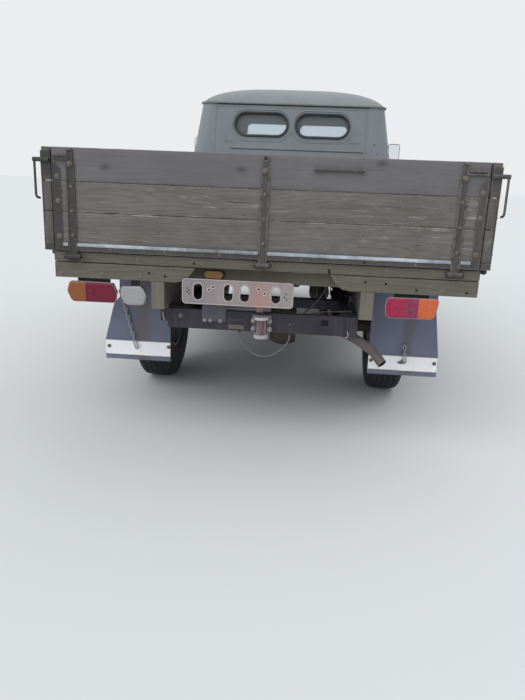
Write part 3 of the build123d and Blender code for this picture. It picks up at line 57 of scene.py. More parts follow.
camera = bpy.data.objects.new("photo_camera", lens)
camera.matrix_world = Matrix(
    (
        (right.x, above.x, -ahead.x, 0.2246), (right.y, above.y, -ahead.y, -5.1512),
        (right.z, above.z, -ahead.z, 1.3049), (0, 0, 0, 1),
    )
)
bpy.context.collection.objects.link(camera)
bpy.context.scene.camera = camera
bpy.context.scene.view_settings.view_transform = "Standard"


class Shading:
    """Lays shader nodes in one tree. Sums and effects give back the socket that carries their result."""

    def __init__(self, tree):
        self.tree = tree

    def feed(self, piece, **values):
        """Sets inputs by name, or by number as in i0. A socket is linked, a plain value is set."""
        for name, value in values.items():
            socket = piece.inputs[int(name[1:]) if name[1:].isdigit() else name.replace("_", " ")]
            if isinstance(value, bpy.types.NodeSocket):
                self.tree.links.new(value, socket)
            else:
                socket.default_value = (*value, 1) if socket.type == "RGBA" and len(value) == 3 else value
        return piece

    def node(self, kind, **values):
        """A shader node with its settings and its inputs."""
        piece = self.tree.nodes.new("ShaderNode" + kind)
        for name in [name for name in values if hasattr(piece, name)]:
            setattr(piece, name, values.pop(name))
        return self.feed(piece, **values)

    def calc(self, how, first, second=0.0, clamp=False):
        return self.node("Math", operation=how, i0=first, i1=second, use_clamp=clamp).outputs[0]

    def times(self, first, second):
        return self.calc("MULTIPLY", first, second, True)

    def plus(self, first, second):
        return self.calc("ADD", first, second)

    def minus(self, first, second):
        return self.calc("SUBTRACT", first, second)

    def vector(self, how, first, second):
        return self.node("VectorMath", operation=how, i0=first, i1=second).outputs[0]

    def scaled(self, value, share):
        return self.node("VectorMath", operation="SCALE", i0=value, Scale=share).outputs[0]

    def mix(self, amount, first, second):
        """First colour turning into the second with the amount."""
        return self.node("Mix", data_type="RGBA", i0=amount, i6=first, i7=second).outputs[2]

    def ramp(self, value, low, high, out_low=0.0, out_high=1.0):
        """A value stretched from low..high to out_low..out_high, clamped."""
        return self.node("MapRange", i0=value, i1=low, i2=high, i3=out_low, i4=out_high).outputs[0]

    def noise(self, spot, scale, detail=4.0, rough=0.6, stretch=None):
        """Noise over the object's own space, stretched where grain or rain runs one way."""
        if stretch:
            spot = self.vector("MULTIPLY", spot, stretch)
        return self.node("TexNoise", Vector=spot, Scale=scale, Detail=detail, Roughness=rough).outputs[0]

    def own_space(self):
        return self.node("TexCoord").outputs["Object"]

    def axis(self, spot, name):
        return self.node("SeparateXYZ", Vector=spot).outputs[name]


sky = bpy.data.worlds.new("pale_sky")
sky.use_nodes = True
sky.node_tree.nodes.clear()
air = Shading(sky.node_tree)
rays = air.node("LightPath").outputs
backdrop_seen = air.calc("MAXIMUM", rays["Is Camera Ray"], rays["Is Glossy Ray"])
backdrop_seen = air.calc("MAXIMUM", backdrop_seen, rays["Is Transmission Ray"])
daylight = air.node("Background", Color=(0.86, 0.92, 1.0), Strength=0.70).outputs[0]
backdrop = air.node("Background", Color=(0.83, 0.85, 0.87), Strength=1.0).outputs[0]
both = air.node("MixShader", i0=backdrop_seen, i1=daylight, i2=backdrop).outputs[0]
air.node("OutputWorld", Surface=both)
bpy.context.scene.world = sky


def in_scene(name, data):
    """A new object in the scene with this mesh, curve, light or camera."""
    thing = bpy.data.objects.new(name, data)
    bpy.context.collection.objects.link(thing)
    return thing


def daylight_from(name, bearing, height, power):
    """Broad even daylight from one side, as soft as a bright overcast sky."""
    light = bpy.data.lights.new(name, "SUN")
    light.energy = power
    light.color = (0.95, 0.965, 1.0)
    light.angle = math.radians(70)
    around, up = math.radians(bearing), math.radians(height)
    source = Vector((math.sin(around) * math.cos(up), -math.cos(around) * math.cos(up), math.sin(up)))
    in_scene(name, light).rotation_euler = source.to_track_quat("Z", "Y").to_euler()


daylight_from("sky_behind", -28, 42, 1.65)
daylight_from("sky_in_front", 150, 50, 0.9)


def new_finish(name):
    """An empty material with the writer of its nodes and its shader."""
    material = bpy.data.materials.new(name)
    material.use_nodes = True
    return material, Shading(material.node_tree), material.node_tree.nodes["Principled BSDF"]


ground = bmesh.new()
bmesh.ops.create_grid(ground, x_segments=1, y_segments=1, size=90)
floor_mesh = bpy.data.meshes.new("pale_floor")
ground.to_mesh(floor_mesh)
concrete, nodes, floor_shader = new_finish("pale_floor")
floor_shader.inputs["Base Color"].default_value = (0.66, 0.66, 0.64, 1)
floor_shader.inputs["Roughness"].default_value = 0.95
floor_shader.inputs["Specular IOR Level"].default_value = 0.1
floor_mesh.materials.append(concrete)
in_scene("pale_floor", floor_mesh)


# Wire loop: a stiff sheathed wire that hangs in one slack bow below the rear beam, both ends
# gripped in small glands under the beam. It is a few years old and grey with road dust.
WIRE_DIAMETER, WIRE_LENGTH = 0.008, 0.385
loop_points = (
    (-0.112, -2.090, 0.552), (-0.112, -2.090, 0.526), (-0.095, -2.092, 0.492), (-0.066, -2.095, 0.460),
    (-0.028, -2.097, 0.438), (0.014, -2.098, 0.430), (0.056, -2.097, 0.440), (0.096, -2.095, 0.466),
    (0.126, -2.092, 0.498), (0.140, -2.090, 0.528), (0.140, -2.090, 0.552),
)
wire_line = bpy.data.curves.new("hanging_wire", "CURVE")
wire_line.dimensions = "3D"
wire_line.bevel_depth = 1.0
wire_line.bevel_resolution = 6
wire_line.resolution_u = 12
wire_run = wire_line.splines.new("NURBS")
wire_run.points.add(len(loop_points) - 1)
for spot, point in zip(wire_run.points, loop_points):
    spot.co = (*point, 1)
    spot.radius = WIRE_DIAMETER / 2
wire_run.order_u = 3
wire_run.use_endpoint_u = True
hanging_wire = in_scene("hanging_wire", wire_line)
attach(hanging_wire, "root")
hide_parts("hanging_cable")


def group_box(name, inputs, outputs):
    """An empty shader group with named sockets: its tree, its writer, its inputs and its output node."""
    tree = bpy.data.node_groups.new(name, "ShaderNodeTree")
    for kind, sockets in inputs.items():
        for socket in sockets.split(", "):
            tree.interface.new_socket(socket, in_out="INPUT", socket_type="NodeSocket" + kind)
    for socket in outputs.split(", "):
        kind = "Color" if socket == "Colour" else "Float"
        tree.interface.new_socket(socket, in_out="OUTPUT", socket_type="NodeSocket" + kind)
    return tree, Shading(tree), tree.nodes.new("NodeGroupInput").outputs, tree.nodes.new("NodeGroupOutput")


# Old army paint as one effect: sun-faded patches, rain streaks down the sides, dust that lies on
# what faces up and on the lower parts, fine grit, and the roughness and relief that go with them.
old_paint, n, given, result = group_box(
    "old_paint", {"Color": "Paint, Faded, Dust", "Float": "Fading, Dustiness, Streaks, Low dirt, Gloss"},
    "Colour, Roughness, Height",
)
where = n.node("TexCoord").outputs
spot = where["Object"]
broad = n.ramp(n.noise(spot, 2.3, 7, 0.62), 0.36, 0.66)
patch = n.ramp(n.noise(spot, 11.0, 6, 0.7), 0.40, 0.68)
grit = n.noise(spot, 170.0, 3, 0.75)
rain = n.ramp(n.noise(spot, 1.0, 6, 0.65, (38, 38, 2.2)), 0.45, 0.72)
fading = n.times(n.plus(n.times(broad, 0.65), n.times(patch, 0.35)), given["Fading"])
skin = n.mix(fading, given["Paint"], given["Faded"])
skin = n.mix(n.times(rain, given["Streaks"]), skin, given["Dust"])
lying = n.times(
    n.ramp(n.axis(where["Normal"], "Z"), 0.1, 0.9), n.ramp(n.noise(spot, 26.0, 5, 0.7), 0.25, 0.62),
)
dusty = n.times(lying, given["Dustiness"])
splash = n.times(n.ramp(n.axis(spot, "Z"), 0.95, 0.25), n.ramp(n.noise(spot, 9.0, 6, 0.7), 0.35, 0.7))
dirt = n.calc("MAXIMUM", dusty, n.times(splash, given["Low dirt"]), True)
skin = n.mix(dirt, skin, given["Dust"])
skin = n.mix(n.times(n.ramp(grit, 0.56, 0.74), 0.22), skin, given["Faded"])
skin = n.mix(n.times(n.ramp(grit, 0.40, 0.26), 0.3), skin, (0.02, 0.018, 0.014))
matt = n.plus(n.plus(n.ramp(patch, 0, 1, 0.0, 0.12), given["Gloss"]), n.times(dirt, 0.35))
relief = n.plus(n.times(grit, 0.12), n.times(n.noise(spot, 34.0, 4, 0.6), 0.6))
n.feed(result, Colour=skin, Roughness=matt, Height=n.plus(relief, n.times(dirt, 0.1)))


# Bare rust as one effect: dark brown crust with orange bloom and pitting.
rust, n, given, result = group_box(
    "rust", {"Float": "Amount", "Color": "Under"}, "Colour, Roughness, Height, Mask",
)
spot = n.own_space()
crust = n.noise(spot, 22.0, 8, 0.72)
pits = n.noise(spot, 140.0, 5, 0.7)
hue = n.mix(n.ramp(pits, 0.35, 0.68), (0.055, 0.022, 0.012), (0.25, 0.085, 0.028))
hue = n.mix(n.ramp(crust, 0.56, 0.74), hue, (0.36, 0.17, 0.07))
mask = n.ramp(n.minus(crust, n.ramp(n.minus(1.0, given["Amount"]), 0, 1, 0.22, 0.80)), 0.0, 0.06)
n.feed(result, Colour=n.mix(mask, given["Under"], hue), Roughness=n.ramp(mask, 0, 1, 0.55, 0.9))
n.feed(result, Height=n.times(mask, pits), Mask=mask)


# Worn corners as one effect: where a bar's or a sheet's edge has been rubbed by hands, ropes and
# branches, the paint thins in broken patches. The mask follows the rounded corner.
rubbed, n, given, result = group_box("rubbed_edge", {"Float": "Reach, Amount"}, "Mask")
round_corner = n.node("Bevel", samples=4, Radius=given["Reach"]).outputs[0]
flat_face = n.node("NewGeometry").outputs["Normal"]
turn = n.node("VectorMath", operation="DOT_PRODUCT", i0=round_corner, i1=flat_face).outputs["Value"]
broken = n.noise(n.own_space(), 45.0, 6, 0.75)
broken = n.minus(broken, n.ramp(n.minus(1.0, given["Amount"]), 0, 1, 0.2, 0.8))
n.feed(result, Mask=n.times(n.ramp(turn, 0.995, 0.93), n.ramp(broken, 0, 0.05)))


def painted(
    name, paint, faded, dust, fading=0.6, dustiness=0.6, streaks=0.25, low_dirt=0.6, gloss=0.5, rub=0.5,
    bare=(0.16, 0.13, 0.10), rusting=0.0, relief=0.0012,
):
    """A painted steel or timber finish: old paint, worn corners and, where asked, rust in patches."""
    material, nodes, shader = new_finish(name)
    layer = nodes.node(
        "Group", node_tree=old_paint, Paint=paint, Faded=faded, Dust=dust, Fading=fading,
        Dustiness=dustiness, Streaks=streaks, Low_dirt=low_dirt, Gloss=gloss,
    ).outputs
    colour, rough, height = layer["Colour"], layer["Roughness"], layer["Height"]
    if rusting:
        layer = nodes.node("Group", node_tree=rust, Amount=rusting, Under=colour).outputs
        colour = layer["Colour"]
        rough = nodes.calc("MAXIMUM", rough, nodes.times(layer["Mask"], 0.9))
        height = nodes.plus(height, layer["Height"])
    if rub:
        worn = nodes.node("Group", node_tree=rubbed, Reach=0.005, Amount=rub).outputs[0]
        colour = nodes.mix(worn, colour, bare)
    bump = nodes.node("Bump", Strength=1.0, Distance=relief, Height=height).outputs[0]
    nodes.feed(shader, Base_Color=colour, Roughness=rough, Normal=bump)
    shader.inputs["Specular IOR Level"].default_value = 0.35
    return material


def coat(material, *names):
    """The CAD pieces get their finish."""
    for name in names:
        mesh = cad_nodes[name].data
        mesh.materials.clear()
        mesh.materials.append(material)


wire_sheath = painted(
    "wire_sheath", (0.07, 0.07, 0.075), (0.15, 0.15, 0.15), (0.26, 0.24, 0.20), rub=0, gloss=0.6,
    relief=0.0004,
)
wire_line.materials.append(wire_sheath)


# Planks of the drop sides: three softwood boards a side, once painted olive. The sun has turned
# the top boards grey, and the lower ones show flaked paint and open grain with pale torn fibres.
wood_face, n, given, result = group_box(
    "weathered_board", {"Vector": "Run", "Color": "Paint, Grey, Torn", "Float": "Flaking, Greyness, Grain"},
    "Colour, Roughness, Height",
)
run = given["Run"]
flow = n.vector("ADD", run, n.scaled((0.0, 0.06, 0.06), n.noise(run, 2.4, 3, 0.5, (0.7, 3.0, 3.0))))
fibre = n.noise(flow, 1.0, 8, 0.72, (4.0, 150.0, 150.0))
ring = n.noise(flow, 1.0, 5, 0.6, (1.1, 34.0, 34.0))
broad = n.ramp(n.noise(run, 1.0, 6, 0.65, (2.2, 5.0, 5.0)), 0.36, 0.66)
crack = n.ramp(n.noise(flow, 1.0, 5, 0.6, (2.4, 90.0, 90.0)), 0.66, 0.73)
torn = n.noise(flow, 1.0, 8, 0.75, (7.0, 70.0, 70.0))
tearing = n.ramp(n.noise(run, 1.0, 5, 0.6, (1.6, 6.0, 6.0)), 0.40, 0.62)
tone = n.mix(n.times(broad, given["Greyness"]), given["Paint"], given["Grey"])
tone = n.mix(n.times(n.ramp(fibre, 0.56, 0.40), given["Grain"]), tone, n.scaled(tone, 0.66))
arch = n.times(n.noise(flow, 1.0, 1.5, 0.45, (0.75, 6.5, 6.5)), 1.0)
arch = n.times(n.ramp(n.calc("PINGPONG", arch, 0.021), 0.0, 0.021), given["Grain"])
tone = n.mix(n.times(arch, n.ramp(ring, 0.35, 0.62)), tone, n.scaled(tone, 1.30))
peeled = n.times(n.times(n.ramp(torn, 0.56, 0.66), tearing), given["Flaking"])
tone = n.mix(peeled, tone, given["Torn"])
tone = n.mix(n.times(crack, 0.85), tone, (0.018, 0.015, 0.012))
depth = n.minus(n.plus(n.times(fibre, 0.5), n.times(arch, 0.45)), n.times(crack, 0.8))
n.feed(result, Colour=tone, Roughness=n.ramp(fibre, 0.3, 0.7, 0.66, 0.88), Height=depth)


def board_finish(
    name, along, paint, grey, torn, flaking, greyness, relief=0.0022, rub=0.45, grain=0.7, torn_edge=0.0,
    knots=(),
):
    """Weathered board, its grain along X or Y. Knots lie at (run, height), a joint may be torn."""
    material, nodes, shader = new_finish(name)
    spot = nodes.own_space()
    if along == "Y":
        axes = nodes.node("SeparateXYZ", Vector=spot).outputs
        spot = nodes.node("CombineXYZ", X=axes["Y"], Y=axes["X"], Z=axes["Z"]).outputs[0]
    board = nodes.node(
        "Group", node_tree=wood_face, Run=spot, Paint=paint, Grey=grey, Torn=torn, Flaking=flaking,
        Greyness=greyness, Grain=grain,
    ).outputs
    worn = nodes.node("Group", node_tree=rubbed, Reach=0.006, Amount=rub).outputs[0]
    colour = nodes.mix(worn, board["Colour"], torn)
    if torn_edge:
        off = nodes.calc("ABSOLUTE", nodes.minus(nodes.axis(spot, "Z"), torn_edge))
        reach = nodes.ramp(nodes.noise(spot, 1.0, 7, 0.75, (5.0, 60.0, 60.0)), 0.42, 0.72, 0.0, 0.011)
        close = nodes.ramp(nodes.minus(reach, off), 0.0, 0.002)
        colour = nodes.mix(nodes.times(close, 0.85), colour, torn)
    for run, height in knots:
        away = nodes.vector("MULTIPLY", nodes.vector("SUBTRACT", spot, (run, 0.0, height)), (0.6, 0.0, 1.0))
        away = nodes.node("VectorMath", operation="LENGTH", i0=away).outputs["Value"]
        away = nodes.plus(away, nodes.times(nodes.noise(spot, 90.0, 4, 0.7), 0.012))
        colour = nodes.mix(nodes.ramp(away, 0.028, 0.010, 0.0, 0.55), colour, (0.03, 0.028, 0.027))
    bump = nodes.node("Bump", Strength=1.0, Distance=relief, Height=board["Height"]).outputs[0]
    nodes.feed(shader, Base_Color=colour, Roughness=board["Roughness"], Normal=bump)
    shader.inputs["Specular IOR Level"].default_value = 0.3
    return material


def mesh_of(name, form, materials):
    """Turns a bmesh into a mesh with its finishes."""
    mesh = bpy.data.meshes.new(name)
    form.to_mesh(mesh)
    form.free()
    for material in materials:
        mesh.materials.append(material)
    return mesh


def piece_of(name, form, materials, body, smooth=50, instead_of=None):
    """Turns a bmesh into a piece of the truck: its finishes, its body and the node it replaces."""
    bmesh.ops.recalc_face_normals(form, faces=form.faces)
    mesh = mesh_of(name, form, materials)
    mesh.shade_smooth()
    mesh.set_sharp_from_angle(angle=math.radians(smooth))
    thing = in_scene(name, mesh)
    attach(thing, body)
    if instead_of:
        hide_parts(instead_of)


def quads_between(form, rows, finish=0, around=False):
    """Joins rows of corners, each closed on itself, with faces; around joins the last row to the first."""
    made = []
    for first, second in zip(rows, rows[1:] + rows[: int(around)]):
        for k in range(len(first)):
            nxt = (k + 1) % len(first)
            made.append(form.faces.new((first[k], first[nxt], second[nxt], second[k])))
            made[-1].material_index = finish
    return made


def sawn_board(form, low, high, along, seed, wear=0.0012, rings=130, finish=0):
    """One board between two corners: rounded arrises, a slightly wavy face, softened ends."""
    chance = random.Random(seed)
    across = [axis for axis in range(3) if axis != along]
    half = [(high[axis] - low[axis]) / 2 for axis in across]
    middle = [(high[axis] + low[axis]) / 2 for axis in across]
    arris = min(0.003, 0.3 * min(half))
    outline = []
    for quarter in range(4):
        centre = (
            (half[0] - arris) * (1 if quarter in (0, 3) else -1),
            (half[1] - arris) * (1 if quarter in (0, 1) else -1),
        )
        for step in range(3):
            angle = math.pi / 2 * (quarter + step / 2)
            outline.append((centre[0] + arris * math.cos(angle), centre[1] + arris * math.sin(angle)))
    section = []
    for first, second in zip(outline, outline[1:] + outline[:1]):
        section.append(first)
        steps = int(math.dist(first, second) / 0.028)
        for k in range(1, steps + 1):
            section.append([first[i] + (second[i] - first[i]) * k / (steps + 1) for i in (0, 1)])
    phase = [chance.uniform(0, 6.28) for _ in range(3)]
    length = high[along] - low[along]
    stations = [0.0, 0.0025] + [length * k / rings for k in range(1, rings)] + [length - 0.0025, length]
    rows = []
    for station, run in enumerate(stations):
        worn_end = 0.0022 if station in (0, len(stations) - 1) else 0
        row = []
        for number, (u, v) in enumerate(section):
            wave = 0.5 + 0.22 * math.sin(run * 2.7 + phase[0] + number * 0.5)
            wave += 0.16 * math.sin(run * 17 + phase[1])
            wave += 0.12 * math.sin(run * 61 + number * 1.7 + phase[2]) + chance.uniform(-0.12, 0.12)
            shrink = wear * wave + worn_end
            spot = [0.0, 0.0, 0.0]
            spot[along] = low[along] + run
            spot[across[0]] = middle[0] + u * (1 - shrink / half[0])
            spot[across[1]] = middle[1] + v * (1 - shrink / half[1])
            row.append(form.verts.new(spot))
        rows.append(row)
    quads_between(form, rows, finish)
    form.faces.new(rows[0]).material_index = finish
    form.faces.new(list(reversed(rows[-1]))).material_index = finish


top_board = board_finish(
    "tailgate_top_board", "X", (0.128, 0.122, 0.122), (0.158, 0.150, 0.152), (0.26, 0.24, 0.22), 0.08, 0.8,
    0.0012, grain=0.28, knots=((-0.735, 1.318), (-0.110, 1.330), (0.515, 1.378)),
)
middle_board = board_finish(
    "tailgate_lower_boards", "X", (0.130, 0.117, 0.100), (0.170, 0.158, 0.150), (0.38, 0.35, 0.31), 0.8,
    0.7, grain=0.75, torn_edge=1.111,
)
BOARD_ROWS = ((0.960, 1.110), (1.112, 1.249), (1.251, 1.400))
gate_planks = bmesh.new()
for number, (low, high) in enumerate(BOARD_ROWS):
    sawn_board(
        gate_planks, (-0.988, -2.210, low), (0.988, -2.168, high), 0, 10 + number,
        finish=1 if number < 2 else 0,
    )
piece_of(
    "tailgate_planks", gate_planks, [top_board, middle_board], "tailgate",
    instead_of="tailgate_boards",
)


BACKWARD, FORWARD, UPWARD, DOWNWARD = (0, -1, 0), (0, 1, 0), (0, 0, 1), (0, 0, -1)


def turned(form, profile, spot, toward, sides=20, finish=0):
    """A part turned about its own axis from (height, radius) pairs, set on a spot and pointing somewhere."""
    frame_of = Vector(toward).to_track_quat("Z", "Y").to_matrix().to_4x4()
    frame_of.translation = Vector(spot)
    turns = [2 * math.pi * k / sides for k in range(sides)]
    rows = []
    for height, radius in profile:
        angles = turns if radius > 0 else [0.0]
        rows.append(
            [
                form.verts.new(frame_of @ Vector((radius * math.cos(a), radius * math.sin(a), height)))
                for a in angles
            ]
        )
    made = []
    for first, second in zip(rows, rows[1:]):
        for k in range(sides):
            nxt = (k + 1) % sides
            if len(first) == 1:
                made.append(form.faces.new((first[0], second[k], second[nxt])))
            elif len(second) == 1:
                made.append(form.faces.new((first[k], first[nxt], second[0])))
            else:
                made.append(form.faces.new((first[k], first[nxt], second[nxt], second[k])))
    if len(rows[0]) > 1:
        made.append(form.faces.new(list(reversed(rows[0]))))
    if len(rows[-1]) > 1:
        made.append(form.faces.new(rows[-1]))
    for face in made:
        face.material_index = finish
    return made


def bent_rod(form, points, radius, sides=10, finish=0):
    """A round bar that follows a line of points, its ends closed."""
    points = [Vector(p) for p in points]
    turns = [2 * math.pi * j / sides for j in range(sides)]
    side = None
    rows = []
    for k, point in enumerate(points):
        run = (points[min(k + 1, len(points) - 1)] - points[max(k - 1, 0)]).normalized()
        if side is None:
            side = run.orthogonal().normalized()
        side = (side - run * side.dot(run)).normalized()
        other = run.cross(side)
        rows.append(
            [form.verts.new(point + radius * (math.cos(a) * side + math.sin(a) * other)) for a in turns]
        )
    quads_between(form, rows, finish)
    form.faces.new(list(reversed(rows[0]))).material_index = finish
    form.faces.new(rows[-1]).material_index = finish


def flat_bar(form, low, high, rounding=0.001, finish=0):
    """A squared piece between two corners with softened edges."""
    made = bmesh.ops.create_cube(form, size=1)["verts"]
    size, middle = Vector(high) - Vector(low), (Vector(high) + Vector(low)) / 2
    for vert in made:
        vert.co = Vector([vert.co[axis] * size[axis] + middle[axis] for axis in range(3)])
    for face in {face for vert in made for face in vert.link_faces}:
        face.material_index = finish
    edges = {edge for vert in made for edge in vert.link_edges}
    bmesh.ops.bevel(form, geom=list(edges), offset=rounding, segments=2, affect="EDGES")


def domed_bolt(form, spot, toward, radius=0.0085, height=0.0055, washer=0.0, finish=0):
    """A carriage bolt's domed head, with a flat washer under it where one is fitted."""
    profile = [(0.0, radius)]
    if washer:
        profile = [(0.0, washer), (0.0018, washer), (0.0018, radius)]
    foot = profile[-1][0]
    profile += [(foot + height * math.sin(a), radius * math.cos(a)) for a in (0.3, 0.65, 1.0, 1.3)]
    profile.append((foot + height, 0.0))
    turned(form, profile, spot, toward, 14, finish)


# Tailgate irons: a pressed bottom rail, three hinge straps with a raised lip on each side, angles on
# the corners, and a round grab handle. Dark olive paint over steel; the rail's top lip is worn in places
# and carries a painted highlight, a pale blue-white where it faces up.
strap_paint = painted(
    "strap_paint", (0.050, 0.046, 0.040), (0.084, 0.079, 0.073), (0.145, 0.136, 0.12), fading=0.7,
    dustiness=0.5, low_dirt=0.1, gloss=0.52, rub=0.6, bare=(0.21, 0.19, 0.16), rusting=0.16, relief=0.0014,
)
coat(strap_paint, "tailgate_irons", "bed_hinges", "side_irons_left", "side_irons_right")
bolt_steel = painted(
    "bolt_steel", (0.10, 0.092, 0.075), (0.17, 0.155, 0.13), (0.20, 0.17, 0.13), fading=0.8, dustiness=0.7,
    streaks=0.2, low_dirt=0.2, rub=0.7, rusting=0.3, relief=0.0006,
)
# The rail's upper lip: worn paint with a painted highlight, the pale blue-white of the upward-facing bead.
lip_wear_and_highlight = painted(
    "rail_lip", (0.085, 0.084, 0.080), (0.60, 0.67, 0.74), (0.24, 0.25, 0.25), fading=1.0, dustiness=0.15,
    streaks=0.0, low_dirt=0.0, gloss=0.45, rub=0.0, rusting=0.1,
)


def nut(form, spot, toward, across=0.019, height=0.009, washer=0.0, stud=0.005, finish=0):
    """A hexagon nut with softened corners on a round washer, and the end of its bolt standing out of it."""
    foot = 0.0
    if washer:
        turned(form, [(0.0, washer), (0.002, washer), (0.0024, washer - 0.001)], spot, toward, 18, finish)
        foot = 0.0022
    half = across / 2
    turned(
        form, [(foot, half * 1.1), (foot + height - 0.0015, half * 1.1), (foot + height, half * 0.95)],
        spot, toward, 6, finish,
    )
    if stud:
        turned(
            form, [(foot, 0.005), (foot + height + stud - 0.001, 0.005), (foot + height + stud, 0.0038)],
            spot, toward, 12, finish,
        )


def rail_lip(form, along, start, end, face, inner, outward, finish=0):
    """The rolled top edge of a bottom rail: a flat web with a round bead over it, between two straps."""
    profile = [(0.0, 0.929), (0.0035, 0.930), (0.004, 0.936), (0.004, 0.949)]
    profile += [
        (0.0025 + 0.0055 * math.cos(angle), 0.9585 + 0.0095 * math.sin(angle))
        for angle in (-1.1, -0.7, -0.3, 0.1, 0.5, 0.9, 1.3)
    ]
    profile += [(0.0, 0.968)]
    steps = max(2, int(abs(end - start) / 0.03))
    chance = random.Random(int(1000 * abs(start) + 10 * along))
    rows = []
    for k in range(steps + 1):
        run = start + (end - start) * k / steps
        dent = chance.uniform(-0.0004, 0.0004)
        row = []
        for number, (out, z) in enumerate(profile):
            spot = [0.0, 0.0, z + (dent if number > 3 else 0)]
            spot[along] = run
            spot[1 - along] = face + outward * out if number else inner
            row.append(form.verts.new(spot))
        rows.append(row)
    # The bead's upper faces take the next finish: worn paint with a painted highlight.
    for k, face in enumerate(quads_between(form, rows, finish)):
        if 5 <= k % len(profile) <= 10:
            face.material_index = finish + 1
    form.faces.new(rows[0]).material_index = finish
    form.faces.new(rows[-1]).material_index = finish


def strap_bolts(form, spot_at, outward):
    """Three domed heads up a hinge strap and a nut near its top, at places given by height and stand-off."""
    for z in (1.003, 1.115, 1.225):
        domed_bolt(form, spot_at(z, 0.0), outward)
    nut(form, spot_at(1.327, 0.005), outward, 0.019, 0.007, 0.0135, 0.003)


STRAP_X, STRAP_FACE = (-0.900, 0.0, 0.880), -2.213
gate_bolts = bmesh.new()
for x in STRAP_X:
    strap_bolts(gate_bolts, lambda z, out: (x, STRAP_FACE - out, z), BACKWARD)
for x in (STRAP_X[0], STRAP_X[-1]):
    domed_bolt(gate_bolts, (x, -2.218, 1.392), BACKWARD, 0.0075, 0.005)
ring_line = [
    (0.0125 * math.cos(a), -2.221 - 0.0015 * math.sin(2 * a), 1.381 + 0.0125 * math.sin(a))
    for a in [k * math.pi / 12 for k in range(25)]
]
bent_rod(gate_bolts, ring_line, 0.003, 8)
for x in (-0.9635, 0.9635):
    for z in (0.998, 1.160, 1.27):
        domed_bolt(gate_bolts, (x, STRAP_FACE, z), BACKWARD, washer=0.0125)
for start, end in ((-0.946, -0.9215), (-0.8785, -0.0215), (0.0215, 0.8585), (0.9015, 0.946)):
    rail_lip(gate_bolts, 0, start, end, STRAP_FACE, -2.2105, -1, 1)
for x in (-0.72, -0.46, -0.2, 0.18, 0.70):
    domed_bolt(gate_bolts, (x, -2.217, 0.942), BACKWARD, 0.0055, 0.003)
# A flat dark disc on the rail stands for a hole: painted shade. The near-black finish below serves such holes
# and gaps as painted shade, and the exhaust's mouth as soot and painted shade.
turned(gate_bolts, [(0.0, 0.006), (0.0003, 0.006)], (0.469, -2.217, 0.939), BACKWARD, 12, 3)
hole_shade_and_soot = painted(
    "painted_hole_shade_and_soot", (0.008, 0.008, 0.008), (0.012, 0.012, 0.012), (0.02, 0.018, 0.015), gloss=0.9, rub=0,
)
piece_of(
    "tailgate_bolts", gate_bolts, [bolt_steel, strap_paint, lip_wear_and_highlight, hole_shade_and_soot], "tailgate",
)


# Hinge pins: greasy round heads on both ends of each hinge's pin, with a split pin bent round one
# of them. They stay with the bed when the boards fold down.
PIN_HEIGHT, PIN_END = 0.905, 0.0312
SIDE_STRAP_Y = (-2.040, -1.300, -0.480, 0.260)
hinge_pins = bmesh.new()
pin_head = [(0.0, 0.0125), (0.004, 0.0135), (0.008, 0.012), (0.0095, 0.006), (0.0095, 0.0)]
for x in STRAP_X:
    for way in (-1, 1):
        turned(hinge_pins, pin_head, (x + way * PIN_END, -2.222, PIN_HEIGHT), (way, 0, 0), 18, 1)
    loop = [
        (
            x + 0.044 + 0.006 * math.sin(a), -2.224 - 0.004 * math.cos(2 * a),
            PIN_HEIGHT + 0.014 * math.cos(a),
        )
        for a in [k * math.pi / 9 for k in range(16)]
    ]
    bent_rod(hinge_pins, loop, 0.0018, 6)
for side in (-1, 1):
    for y in SIDE_STRAP_Y:
        for way in (-1, 1):
            turned(hinge_pins, pin_head, (side * 1.048, y + way * PIN_END, PIN_HEIGHT), (0, way, 0), 18, 1)
pin_grease = painted(
    "pin_grease", (0.016, 0.016, 0.018), (0.040, 0.040, 0.044), (0.10, 0.09, 0.08), gloss=0.4, rub=0.3,
)
piece_of("hinge_pins", hinge_pins, [bolt_steel, pin_grease], "root")


# Side boards: the same three planks and irons as the tailgate, one and a half times as long,
# bolted through their straps and corner angles.
side_top_board = board_finish(
    "side_top_board", "Y", (0.094, 0.089, 0.082), (0.128, 0.123, 0.118), (0.27, 0.24, 0.20), 0.3, 0.8,
    grain=0.5,
)
side_lower_board = board_finish(
    "side_lower_boards", "Y", (0.096, 0.088, 0.074), (0.128, 0.120, 0.107), (0.32, 0.29, 0.24), 0.7, 0.6,
)
for side, name in ((-1, "left"), (1, "right")):
    planks = bmesh.new()
    inner, outer = sorted((side * 0.994, side * 1.036))
    for number, (low, high) in enumerate(BOARD_ROWS):
        sawn_board(
            planks, (inner, -2.210, low), (outer, 0.440, high), 1, 40 + number + 5 * side, rings=160,
            finish=1 if number < 2 else 0,
        )
    piece_of(
        f"side_planks_{name}", planks, [side_top_board, side_lower_board], f"drop_side_{name}",
        instead_of=f"side_boards_{name}",
    )
    bolts = bmesh.new()
    face = side * 1.039
    for y in SIDE_STRAP_Y:
        strap_bolts(bolts, lambda z, out: (face + side * out, y, z), (side, 0, 0))
        domed_bolt(bolts, (side * 1.044, y, 1.392), (side, 0, 0), 0.0075, 0.005)
    for y in (-2.190, 0.420):
        for z in (0.999, 1.161, 1.27):
            domed_bolt(bolts, (face, y, z), (side, 0, 0), 0.0085, 0.005, 0.0125)
    edges = [-2.166] + [y + way * 0.0215 for y in SIDE_STRAP_Y for way in (-1, 1)] + [0.396]
    for start, end in zip(edges[::2], edges[1::2]):
        rail_lip(bolts, 1, start, end, face, side * 1.0365, side, 1)
    piece_of(
        f"side_bolts_{name}", bolts, [bolt_steel, strap_paint, lip_wear_and_highlight], f"drop_side_{name}",
    )


